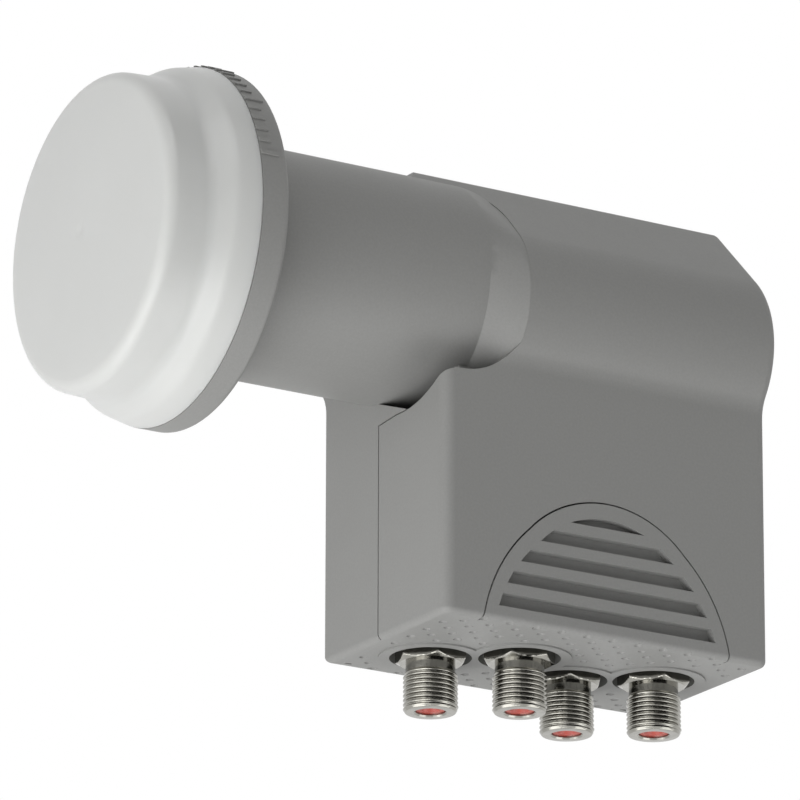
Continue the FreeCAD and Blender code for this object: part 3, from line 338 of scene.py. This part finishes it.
def rounded(corners, rounds, steps):
    """Open line through corners, where rounds maps a corner's number to its radius.

    A rounded corner becomes an arc that touches both its sides: it starts at the radius times
    the tangent of half the turn before the corner, and its centre is on the inner side.
    """
    corners = np.array(corners, float)
    line = []
    for i, corner in enumerate(corners):
        if i not in rounds:
            line.append(corner[None])
            continue
        before = corners[i - 1] - corner
        after = corners[i + 1] - corner
        before /= np.linalg.norm(before)
        after /= np.linalg.norm(after)
        half = math.acos(np.clip(before @ after, -1, 1)) / 2
        middle = (before + after) / np.linalg.norm(before + after)
        centre = corner + middle * rounds[i] / math.sin(half)
        start = corner + before * rounds[i] / math.tan(half) - centre
        end = corner + after * rounds[i] / math.tan(half) - centre
        part = np.linspace(0, 1, steps + 1)[:, None]
        span = math.pi - 2 * half
        line.append(centre + (np.sin((1 - part) * span) * start + np.sin(part * span) * end)
                    / math.sin(span))
    return np.concatenate(line)


def grid_faces(rows, columns, wrap_rows):
    """Four-sided faces of a grid whose columns close round, and its rows too if asked."""
    last = rows if wrap_rows else rows - 1
    row = np.arange(last)[:, None]
    column = np.arange(columns)[None]
    here = row * columns + column
    beside = row * columns + (column + 1) % columns
    above = (row + 1) % rows * columns + column
    corner = (row + 1) % rows * columns + (column + 1) % columns
    return np.stack([here, beside, corner, above], -1).reshape(-1, 4)


def turned_shape(line, columns):
    """Points and faces of a line of (radius, height) turned round the third axis.

    A point of the line at radius r and height h goes to (r cos a, r sin a, h) for each angle a.
    Ends at radius 0 become one point with a fan of triangles, and other ends join each other.
    """
    angle = np.linspace(0, 2 * math.pi, columns, endpoint=False)
    poles = line[0, 0] == 0 and line[-1, 0] == 0
    rings = line[1:-1] if poles else line
    points = np.stack([rings[:, :1] * np.cos(angle), rings[:, :1] * np.sin(angle),
                       np.repeat(rings[:, 1:], columns, 1)], -1).reshape(-1, 3)
    groups = [grid_faces(len(rings), columns, not poles)]
    if poles:
        count = len(points)
        column = np.arange(columns)
        beside = (column + 1) % columns
        top = (len(rings) - 1) * columns
        points = np.concatenate([points, [[0, 0, line[0, 1]], [0, 0, line[-1, 1]]]])
        groups.append(np.stack([beside, column, np.full(columns, count)], -1))
        groups.append(np.stack([top + column, top + beside, np.full(columns, count + 1)], -1))
    return points, groups


# Cap

def cap_mesh(sizes):
    """Cap turned about the feed axis: domed face, drum, shoulder and spigot.

    At radius r the face lies the dome's height times (r / R) squared behind its middle, where R
    is the drum's radius. The mould's shallow round gate mark is at the middle.
    """
    low, high = box_mm("feed_cap")
    front, spigot_end, rim = low[1], high[1], high[0]
    dome, thick, drum = sizes.dome / MM, sizes.thickness / MM, sizes.drum / MM
    gate, gate_edge, gate_depth, draft = 0.8, 0.35, 0.12, 0.4
    step, skirt_start, skirt_end, inner_step = -31.9, -28.3, -23.9, -29.0
    skirt, spigot, spigot_bore = 30.0, 28.8, 27.4
    rim_round, spigot_round, inner_round = 0.25, 0.3, 1.5
    face, dome_start, dome_end = front + dome, gate + 1, drum - 3.6
    radii = np.linspace(0, dome_end, 24)[1:]
    dished = [(0, front + gate_depth), (gate, front + gate_depth), (gate + gate_edge, front)]
    domed = [(r, front + dome * (r / drum) ** 2) for r in radii if r > dome_start]
    outside = dished + domed + [
        (drum, face), (drum + draft, step), (skirt, skirt_start), (rim, skirt_end),
        (spigot, skirt_end), (spigot, spigot_end), (spigot_bore, spigot_end),
        (spigot_bore, inner_step), (drum + draft - thick, step), (drum - thick, face + thick),
        (0, front + thick)]
    first = len(dished) + len(domed)
    soft = sizes.step_round / MM
    rounds = {first: sizes.face_round / MM, first + 1: soft, first + 2: soft,
              first + 3: rim_round, first + 5: spigot_round, first + 9: inner_round}
    points, groups = turned_shape(rounded(outside, rounds, steps=8), columns=192)
    return write_mesh("feed_cap_skin", points[:, [0, 2, 1]], groups)


# Sockets

def thread_height(z, angle, start, end, pitch, depth):
    """Height of a thread over its root: a cosine of the height and turn, fading at both ends.

    The wave goes from 0 to 1, and a power below 1 makes its crests fuller than its grooves.
    """
    fullness = 0.8
    wave = 0.5 + 0.5 * np.cos(2 * math.pi * (z / pitch + angle / (2 * math.pi)))
    fade = np.clip((z - start) / pitch, 0, 1) * np.clip((end - z) / pitch, 0, 1)
    return depth * wave ** fullness * fade


def hexagon_radius(angle, across, corner):
    """Radius of a hexagon with a corner at this angle, by its width across flats."""
    return across / 2 / np.cos((angle - corner) % (math.pi / 3) - math.pi / 6)


def socket_mesh(socket, corner, sizes):
    """Threaded socket: a tube whose radius depends on height and angle.

    Rows follow the section: down the bore, over the rounded tip, up the thread, out over the
    chamfered hexagon, in at its top and up the shank. Columns go round the axis.
    """
    low, high = box_mm(socket + "_body")
    centre = (low + high) / 2
    tip, top = low[2], high[2]
    pitch, depth = sizes.pitch / MM, sizes.thread_depth / MM
    crest, bore, across = sizes.crest_radius / MM, sizes.bore_radius / MM, sizes.hexagon / MM
    root = crest - depth
    nut_low, nut_high, relief = -63.1, -60.4, -64.6
    bevel, flat, flare, flare_height, swell, tip_round = 0.25, 0.1, 0.35, 0.4, 0.3, 0.25
    fade_start, thread_start, rows_in_turn = tip + 0.2, tip + 0.45, 14
    chamfer_foot, chamfer_height, chamfer_angle = across / 2 - 0.2, 0.7, 30
    columns = 96
    thread = np.arange(thread_start, relief, pitch / rows_in_turn)
    nut = np.concatenate([np.linspace(nut_low, nut_low + chamfer_height, 8), [nut_high]])
    edge = rounded([(bore, top), (bore, tip + bevel), (bore + bevel, tip), (root + flat, tip),
                    (root + flare, tip + flare_height)], {3: tip_round}, steps=4)
    heights = np.concatenate([edge[:, 1], thread, [relief, nut_low], nut,
                              [nut_high, nut_high, top]])
    angle = corner + np.linspace(0, 2 * math.pi, columns, endpoint=False)
    z = np.repeat(heights[:, None], columns, 1)
    radius = np.empty_like(z)
    place = len(edge)
    radius[:place] = edge[:, :1]
    part = slice(place, place + len(thread))
    radius[part] = root + thread_height(z[part], angle, fade_start, relief, pitch, depth)
    radius[part] += swell * np.clip(1 - (z[part] - tip - flare_height) / pitch, 0, 1)
    place += len(thread)
    radius[place:place + 2] = root
    nut_part = slice(place + 2, place + 2 + len(nut))
    slope = chamfer_foot + (z[nut_part] - nut_low) / math.tan(math.radians(chamfer_angle))
    radius[nut_part] = np.minimum(hexagon_radius(angle, across, corner), slope)
    # A ring just inside the hexagon's top edge keeps that face's shading flat.
    inset = 0.97
    radius[-3] = radius[nut_part][-1] * inset
    radius[-2:] = root
    points = np.stack([centre[0] + radius * np.cos(angle), centre[1] + radius * np.sin(angle), z],
                      -1).reshape(-1, 3)
    mesh = write_mesh(socket + "_thread", points, [grid_faces(len(z), columns, True)])
    smooth_walls(mesh, angle=24)
    # The thread's own edges stay smooth, however steep its flanks are.
    first, last = part.start * columns, (part.stop + 1) * columns
    ends = np.empty(len(mesh.edges) * 2, np.int32)
    mesh.edges.foreach_get("vertices", ends)
    ends = ends.reshape(-1, 2)
    on_thread = ((ends >= first) & (ends < last)).all(1)
    sharp = mesh.attributes["sharp_edge"].data
    marks = np.empty(len(sharp), bool)
    sharp.foreach_get("value", marks)
    sharp.foreach_set("value", marks & ~on_thread)
    return mesh


def insulator_mesh(socket, sizes):
    """Insulator turned about the socket's axis, with a funnel that guides the cable's core in."""
    low, high = box_mm(socket + "_insulator")
    centre = (low + high) / 2
    bore = sizes.bore_radius / MM
    face = low[2]
    hole, throat, mouth = 0.5, 0.95, 1.75
    hole_depth, throat_depth, mouth_depth = 1.4, 1.1, 0.1
    mouth_round, rim_round = 0.15, 0.12
    line = rounded([(hole, high[2]), (hole, face + hole_depth), (throat, face + throat_depth),
                    (mouth, face + mouth_depth), (bore, face), (bore, high[2])],
                   {3: mouth_round, 4: rim_round}, steps=4)
    points, groups = turned_shape(line, columns=64)
    return write_mesh(socket + "_funnel", points + [centre[0], centre[1], 0], groups)


# Neck

def lower_marks(mesh, share):
    """Lower the marks of the ring's scale to this share of their height.

    A point at radius r past the ring's radius R goes to R + share (r - R) on its own angle.
    """
    ring, ring_end, least = 30.9, -18.0, 0.05
    points = np.empty(len(mesh.vertices) * 3, np.float32)
    mesh.vertices.foreach_get("co", points)
    points = points.reshape(-1, 3) / MM
    radius = np.hypot(points[:, 0], points[:, 2])
    raised = (points[:, 1] < ring_end) & (radius > ring + least)
    wanted = np.where(raised, ring + share * (radius - ring), radius)
    points[:, [0, 2]] *= (wanted / radius)[:, None]
    mesh.vertices.foreach_set("co", (points * MM).astype(np.float32).ravel())
    mesh.update()


def arc_through(start, end, radius, steps):
    """Points of the arc of this radius from start to end that bulges to the right of the way."""
    start, end = np.array(start, float), np.array(end, float)
    half = (end - start) / 2
    length = np.linalg.norm(half)
    across = np.array([-half[1], half[0]]) / length
    centre = start + half + across * math.sqrt(radius ** 2 - length ** 2)
    first = math.atan2(*(start - centre)[::-1])
    last = math.atan2(*(end - centre)[::-1])
    angle = np.linspace(first, last, steps)
    return centre + radius * np.stack([np.cos(angle), np.sin(angle)], -1)


def mouth_cutter(last_turn, edge, back):
    """Prism below the neck that frees the round tube where it passes the housing's mouth.

    Its section runs along the tube's circle, (R cos t, R sin t) in X and Z, from the first turn t
    to the last, then along the given edge and the right side. The prism runs along Y.
    """
    tube, first_turn, front = 20.02, -39, 10.5
    turn = np.radians(np.linspace(first_turn, last_turn, 48))
    circle = tube * np.stack([np.cos(turn), np.sin(turn)], -1)
    # Wide enough to leave no sliver of the chin behind the cover's edge.
    right_side = [(7.3, -23.3), (11.8, -22.7), (14.9, -21.55), (17.1, -20.3), (19.0, -19.6),
                  (19.0, circle[0, 1])]
    outline = np.concatenate([circle, edge, right_side])
    count = len(outline)
    points = np.concatenate([np.insert(outline, 1, y, 1) for y in (front, back)])
    here = np.arange(count)
    beside = (here + 1) % count
    sides = np.stack([here, beside, beside + count, here + count], -1)
    ends = np.stack([here[::-1], here + count])
    cutter = bpy.data.objects.new("mouth_cutter", write_mesh("mouth_cutter", points,
                                                             [sides, ends]))
    bpy.context.scene.collection.objects.link(cutter)
    return cutter


def free_the_mouth(piece):
    """Cut the chin below the neck back, flush with the front wall and then deep beside the tube.

    The deep cut's left edge lies so flat that its wall doesn't show from the cover's side.
    """
    flush, flush_turn = 18.48, -113.4
    deep, deep_turn, deep_foot = 25.5, -95.7, (2.6, -21.6)
    left_start, left_end, left_radius = (-8.1, -18.5), (4.2, -23.32), 24.0
    left_edge = arc_through(left_start, left_end, left_radius, steps=12)
    cut_away(piece, mouth_cutter(flush_turn, left_edge, flush))
    cut_away(piece, mouth_cutter(deep_turn, [deep_foot], deep))


# Base

def dimple_places(sizes):
    """Centres of the base's dimples: a staggered lattice, clear of the rims round the sockets."""
    step = sizes.dimple_step / MM
    side, front, back, rim, gap = 18.4, 21.9, 82.0, 8.9, 0.8
    rows, columns = 15, 13
    row = np.arange(rows)[:, None]
    across = side - step / 2 * row
    along = front + step * np.arange(columns)[None] + step / 2 * (row % 2)
    places = np.stack(np.broadcast_arrays(across, along), -1).reshape(-1, 2)
    clear = places[:, 1] < back
    for socket in SOCKETS:
        low, high = box_mm(socket + "_body")
        middle = (low + high)[:2] / 2
        clear &= np.linalg.norm(places - middle, axis=1) > rim + gap
    return places[clear]


def dimple_cutter(sizes):
    """One ball for each dimple, low enough to cut a hollow of the dimple's width and depth.

    A hollow of width w and depth d is cut by a ball of radius (w w / 4 + d d) / (2 d).
    """
    width, depth = sizes.dimple_width / MM, sizes.dimple_depth / MM
    radius = (width * width / 4 + depth * depth) / (2 * depth)
    turn = np.linspace(0, math.pi, 11)
    line = np.stack([np.sin(turn), np.cos(turn)], -1) * radius
    line[[0, -1], 0] = 0
    ball, groups = turned_shape(line, columns=14)
    places = dimple_places(sizes)
    floor = box_mm("neck_shell")[0][2]
    centres = np.column_stack([places, np.full(len(places), floor + depth - radius)])
    points = (centres[:, None] + ball[None]).reshape(-1, 3)
    offsets = (np.arange(len(places)) * len(ball))[:, None, None]
    faces = [(group[None] + offsets).reshape(-1, group.shape[1]) for group in groups]
    cutter = bpy.data.objects.new("dimple_cutter", write_mesh("dimple_cutter", points, faces))
    bpy.context.scene.collection.objects.link(cutter)
    return cutter


def cut_away(piece, cutter):
    """Cut one object out of another and keep the result as the piece's own mesh."""
    cut = piece.modifiers.new("cut", "BOOLEAN")
    cut.operation = "DIFFERENCE"
    cut.solver = "EXACT"
    cut.object = cutter
    bpy.context.view_layer.update()
    seen = piece.evaluated_get(bpy.context.evaluated_depsgraph_get())
    mesh = bpy.data.meshes.new_from_object(seen)
    piece.modifiers.remove(cut)
    piece.data = mesh
    bpy.data.meshes.remove(cutter.data)


# Stage

def aim(obj, place, target, roll=0.0):
    """Put an object at place, looking at target, turned by roll degrees about its view."""
    look = (Vector(target) - Vector(place)).normalized()
    right = look.cross(Vector((0, 0, 1))).normalized()
    up = right.cross(look)
    angle = math.radians(roll)
    across = right * math.cos(angle) + up * math.sin(angle)
    upward = up * math.cos(angle) - right * math.sin(angle)
    turn = Matrix((across, upward, -look)).transposed()
    obj.matrix_world = Matrix.Translation(place) @ turn.to_4x4()


def direction(azimuth, elevation):
    """Unit vector towards a viewer at this azimuth and elevation in degrees."""
    a = math.radians(azimuth)
    e = math.radians(elevation)
    return Vector((math.sin(a) * math.cos(e), -math.cos(a) * math.cos(e), math.sin(e)))


def add_lamp(name, azimuth, elevation, distance, size, power):
    """Soft square lamp that looks at the object from one direction."""
    data = bpy.data.lights.new(name, "AREA")
    data.size = size
    data.energy = power
    lamp = bpy.data.objects.new(name, data)
    bpy.context.scene.collection.objects.link(lamp)
    centre = Vector(LAMP_TARGET)
    aim(lamp, centre + direction(azimuth, elevation) * distance, centre)
    lamp.visible_camera = False


def white_when_seen(tree, shader):
    """Mix a shader with plain white for camera, mirror and glass rays."""
    path = add_node(tree, "LightPath")
    either = add_node(tree, "Math", {0: path.outputs["Is Camera Ray"],
                                     1: path.outputs["Is Glossy Ray"]}, operation="MAXIMUM")
    seen = add_node(tree, "Math", {0: either.outputs[0],
                                   1: path.outputs["Is Transmission Ray"]}, operation="MAXIMUM")
    white = add_node(tree, "Emission", {"Color": (1, 1, 1, 1), "Strength": 1.0})
    return add_node(tree, "MixShader", {0: seen.outputs[0], 1: shader, 2: white.outputs[0]})


# Settings

class LNB_LooksSettings(bpy.types.PropertyGroup):
    """Colours of the looks."""
    housing_dark: bpy.props.StringProperty(
        name="Housing dark", description="Darker tone of the housing's grain", default="#8a8a88")
    housing_light: bpy.props.StringProperty(
        name="Housing light", description="Lighter tone of the housing's grain", default="#939391")
    cap_dark: bpy.props.StringProperty(
        name="Cap dark", description="Darker tone of the cap", default="#cfd0ce")
    cap_light: bpy.props.StringProperty(
        name="Cap light", description="Lighter tone of the cap", default="#d4d5d3")
    nickel_dark: bpy.props.StringProperty(
        name="Nickel dark", description="Darker tone of the nickel plate", default="#85847e")
    nickel_light: bpy.props.StringProperty(
        name="Nickel light", description="Lighter tone of the nickel plate", default="#aba9a2")


class LNB_CapSettings(bpy.types.PropertyGroup):
    """Sizes of the cap."""
    dome: bpy.props.FloatProperty(
        name="Dome", description="Rise of the face at its middle", default=1.4 * MM,
        unit="LENGTH")
    drum: bpy.props.FloatProperty(
        name="Drum", description="Radius of the drum at the face", default=27.3 * MM,
        unit="LENGTH")
    thickness: bpy.props.FloatProperty(
        name="Wall", description="Thickness of the cap's wall", default=1.6 * MM, unit="LENGTH")
    face_round: bpy.props.FloatProperty(
        name="Face round", description="Radius of the edge between face and drum",
        default=2.4 * MM, unit="LENGTH")
    step_round: bpy.props.FloatProperty(
        name="Step round", description="Radius of the soft step between drum and skirt",
        default=4.5 * MM, unit="LENGTH")


class LNB_SocketSettings(bpy.types.PropertyGroup):
    """Sizes of the sockets: a 3/8 inch thread with 32 turns to the inch."""
    crest_radius: bpy.props.FloatProperty(
        name="Crest radius", description="Radius over the thread", default=4.7 * MM,
        unit="LENGTH")
    pitch: bpy.props.FloatProperty(
        name="Pitch", description="Distance between two turns of the thread",
        default=25.4 / 32 * MM, unit="LENGTH")
    thread_depth: bpy.props.FloatProperty(
        name="Thread depth", description="From crest to root", default=0.46 * MM, unit="LENGTH")
    bore_radius: bpy.props.FloatProperty(
        name="Bore radius", description="Radius of the bore that holds the insulator",
        default=2.6 * MM, unit="LENGTH")
    hexagon: bpy.props.FloatProperty(
        name="Hexagon", description="Width across flats", default=11.0 * MM, unit="LENGTH")


class LNB_BaseSettings(bpy.types.PropertyGroup):
    """Sizes of the base's dimples."""
    dimple_step: bpy.props.FloatProperty(
        name="Dimple step", description="Distance between dimples in a row", default=5.1 * MM,
        unit="LENGTH")
    dimple_width: bpy.props.FloatProperty(
        name="Dimple width", description="Width of a dimple at the surface", default=1.5 * MM,
        unit="LENGTH")
    dimple_depth: bpy.props.FloatProperty(
        name="Dimple depth", description="Depth of a dimple", default=0.55 * MM, unit="LENGTH")


class LNB_StageSettings(bpy.types.PropertyGroup):
    """Camera and light of the studio."""
    azimuth: bpy.props.FloatProperty(
        name="Azimuth", description="Camera's direction round the object, in degrees",
        default=58.413)
    elevation: bpy.props.FloatProperty(
        name="Elevation", description="Camera's height above the level, in degrees",
        default=-17.831)
    roll: bpy.props.FloatProperty(
        name="Roll", description="Camera's turn about its view, in degrees", default=0.127)
    distance: bpy.props.FloatProperty(
        name="Distance", description="From the camera to its target", default=1.258727,
        unit="LENGTH")
    lens: bpy.props.FloatProperty(
        name="Lens", description="Focal length in millimetres on a 36 mm sensor",
        default=331.97)
    target: bpy.props.FloatVectorProperty(
        name="Target", description="Point at the middle of the frame",
        default=(0.0, 0.021571, -0.019188), subtype="XYZ")
    floor_height: bpy.props.FloatProperty(
        name="Floor", description="Height of the floor below the feed axis", default=-0.90,
        unit="LENGTH")
    world: bpy.props.FloatProperty(
        name="World", description="Strength of the even light from all round", default=0.33)


# Operators

FINISHES = {}


class LNB_OT_finishes(bpy.types.Operator):
    """Make the finishes and dress every CAD node in the finish of its slot"""
    bl_idname = "lnb.finishes"
    bl_label = "Dress the nodes"

    def execute(self, context):
        FINISHES.update(make_finishes(context.scene.lnb_looks))
        for row in frame["record"]["subparts"]:
            mesh = NODES[row["node"]].data
            mesh.materials.clear()
            mesh.materials.append(FINISHES[row["material_slot"]])
        return {"FINISHED"}


class LNB_OT_shells(bpy.types.Operator):
    """Give the moulded shells smooth walls and crisp edges, and free the mouth below the neck"""
    bl_idname = "lnb.shells"
    bl_label = "Shells"

    def execute(self, context):
        for node in ("neck_shell", "side_cover"):
            piece = new_piece(node + "_skin", merged_copy(node), "housing_grey", node)
            if node == "neck_shell":
                free_the_mouth(piece)
                lower_marks(piece.data, MARK_SHARE)
            finish_shell(piece)
        return {"FINISHED"}


class LNB_OT_base(bpy.types.Operator):
    """Sink the dimples into the base plate"""
    bl_idname = "lnb.base"
    bl_label = "Dimpled base"

    def execute(self, context):
        piece = new_piece("base_grille_skin", merged_copy("base_grille"), "housing_grey",
                          "base_grille")
        cut_away(piece, dimple_cutter(context.scene.lnb_base))
        finish_shell(piece)
        return {"FINISHED"}


class LNB_OT_cap(bpy.types.Operator):
    """Turn the cap"""
    bl_idname = "lnb.cap"
    bl_label = "Cap"

    def execute(self, context):
        mesh = cap_mesh(context.scene.lnb_cap)
        smooth_walls(mesh, angle=40)
        new_piece("feed_cap_skin", mesh, "cap_white", "feed_cap")
        return {"FINISHED"}


class LNB_OT_sockets(bpy.types.Operator):
    """Cut the sockets' threads and chamfers and their insulators' funnels"""
    bl_idname = "lnb.sockets"
    bl_label = "Sockets"

    def execute(self, context):
        sizes = context.scene.lnb_sockets
        for socket, corner in zip(SOCKETS, HEXAGON_TURNS):
            mesh = socket_mesh(socket, math.radians(corner), sizes)
            new_piece(socket + "_thread", mesh, "bright_nickel", socket + "_body")
            mesh = insulator_mesh(socket, sizes)
            smooth_walls(mesh, angle=50)
            new_piece(socket + "_funnel", mesh, "red_polymer", socket + "_insulator")
        return {"FINISHED"}


class LNB_OT_stage(bpy.types.Operator):
    """Put up the floor, the world, the lamps, the dark card and the camera"""
    bl_idname = "lnb.stage"
    bl_label = "Stage"

    def execute(self, context):
        stage = context.scene.lnb_stage
        context.scene.view_settings.view_transform = "Standard"
        self.make_floor(stage.floor_height)
        self.make_world(context.scene, stage.world)
        for lamp in LAMPS:
            add_lamp(*lamp)
        self.make_card(*CARD)
        data = bpy.data.cameras.new("photo_camera")
        data.sensor_width = 36.0
        data.lens = stage.lens
        data.clip_start = 0.1
        data.clip_end = 20.0
        camera = bpy.data.objects.new("photo_camera", data)
        context.scene.collection.objects.link(camera)
        target = Vector(stage.target)
        place = target + direction(stage.azimuth, stage.elevation) * stage.distance
        aim(camera, place, target, stage.roll)
        context.scene.camera = camera
        return {"FINISHED"}

    def make_floor(self, height):
        """Pale floor well below the object, white where the camera sees it unshadowed."""
        half = 6.0
        mesh = bpy.data.meshes.new("studio_floor")
        corners = [(-half, -half, height), (half, -half, height),
                   (half, half, height), (-half, half, height)]
        mesh.from_pydata(corners, [], [(0, 1, 2, 3)])
        floor = bpy.data.objects.new("studio_floor", mesh)
        bpy.context.scene.collection.objects.link(floor)
        material = bpy.data.materials.new("pale_floor")
        material.use_nodes = True
        tree = material.node_tree
        tree.nodes.clear()
        matt = add_node(tree, "BsdfDiffuse", {"Color": linear("#e6e6e6")})
        mix = white_when_seen(tree, matt.outputs[0])
        add_node(tree, "OutputMaterial", {"Surface": mix.outputs[0]})
        mesh.materials.append(material)

    def make_card(self, azimuth, elevation, distance, width, height):
        """Dark card that only the metal and gloss reflect, which gives the threads contrast."""
        x, y = width / 2, height / 2
        mesh = bpy.data.meshes.new("dark_card")
        mesh.from_pydata([(-x, -y, 0), (x, -y, 0), (x, y, 0), (-x, y, 0)], [], [(0, 1, 2, 3)])
        card = bpy.data.objects.new("dark_card", mesh)
        bpy.context.scene.collection.objects.link(card)
        material = bpy.data.materials.new("black_card")
        material.use_nodes = True
        tree = material.node_tree
        tree.nodes.clear()
        matt = add_node(tree, "BsdfDiffuse", {"Color": linear("#1c1c1c")})
        add_node(tree, "OutputMaterial", {"Surface": matt.outputs[0]})
        mesh.materials.append(material)
        centre = Vector(CARD_TARGET)
        aim(card, centre + direction(azimuth, elevation) * distance, centre)
        card.visible_camera = False
        card.visible_diffuse = False
        card.visible_shadow = False

    def make_world(self, scene, strength):
        """Even grey surroundings that the camera sees as white."""
        world = bpy.data.worlds.new("studio_world")
        world.use_nodes = True
        tree = world.node_tree
        tree.nodes.clear()
        dim = add_node(tree, "Background", {"Color": (1, 1, 1, 1), "Strength": strength})
        mix = white_when_seen(tree, dim.outputs[0])
        add_node(tree, "OutputWorld", {"Surface": mix.outputs[0]})
        scene.world = world


class LNB_PT_panel(bpy.types.Panel):
    """Buttons for each group of pieces and for the stage"""
    bl_idname = "LNB_PT_panel"
    bl_label = "Satellite LNB"
    bl_space_type = "VIEW_3D"
    bl_region_type = "UI"
    bl_category = "LNB"

    def draw(self, context):
        for operator in OPERATORS:
            self.layout.operator(operator.bl_idname)


GROUPS = (LNB_LooksSettings, LNB_CapSettings, LNB_SocketSettings, LNB_BaseSettings,
          LNB_StageSettings)
OPERATORS = (LNB_OT_finishes, LNB_OT_shells, LNB_OT_base, LNB_OT_cap, LNB_OT_sockets,
             LNB_OT_stage)


def register():
    """Register the classes and hang the settings on the scene."""
    for item in GROUPS + OPERATORS + (LNB_PT_panel,):
        bpy.utils.register_class(item)
    bpy.types.Scene.lnb_looks = bpy.props.PointerProperty(type=LNB_LooksSettings)
    bpy.types.Scene.lnb_cap = bpy.props.PointerProperty(type=LNB_CapSettings)
    bpy.types.Scene.lnb_sockets = bpy.props.PointerProperty(type=LNB_SocketSettings)
    bpy.types.Scene.lnb_base = bpy.props.PointerProperty(type=LNB_BaseSettings)
    bpy.types.Scene.lnb_stage = bpy.props.PointerProperty(type=LNB_StageSettings)


def unregister():
    """Undo what register did."""
    del bpy.types.Scene.lnb_looks
    del bpy.types.Scene.lnb_cap
    del bpy.types.Scene.lnb_sockets
    del bpy.types.Scene.lnb_base
    del bpy.types.Scene.lnb_stage
    for item in reversed(GROUPS + OPERATORS + (LNB_PT_panel,)):
        bpy.utils.unregister_class(item)


def main():
    """Make everything in order."""
    register()
    bpy.ops.lnb.finishes()
    bpy.ops.lnb.shells()
    bpy.ops.lnb.base()
    bpy.ops.lnb.cap()
    bpy.ops.lnb.sockets()
    bpy.ops.lnb.stage()


if __name__ == "__main__":
    main()
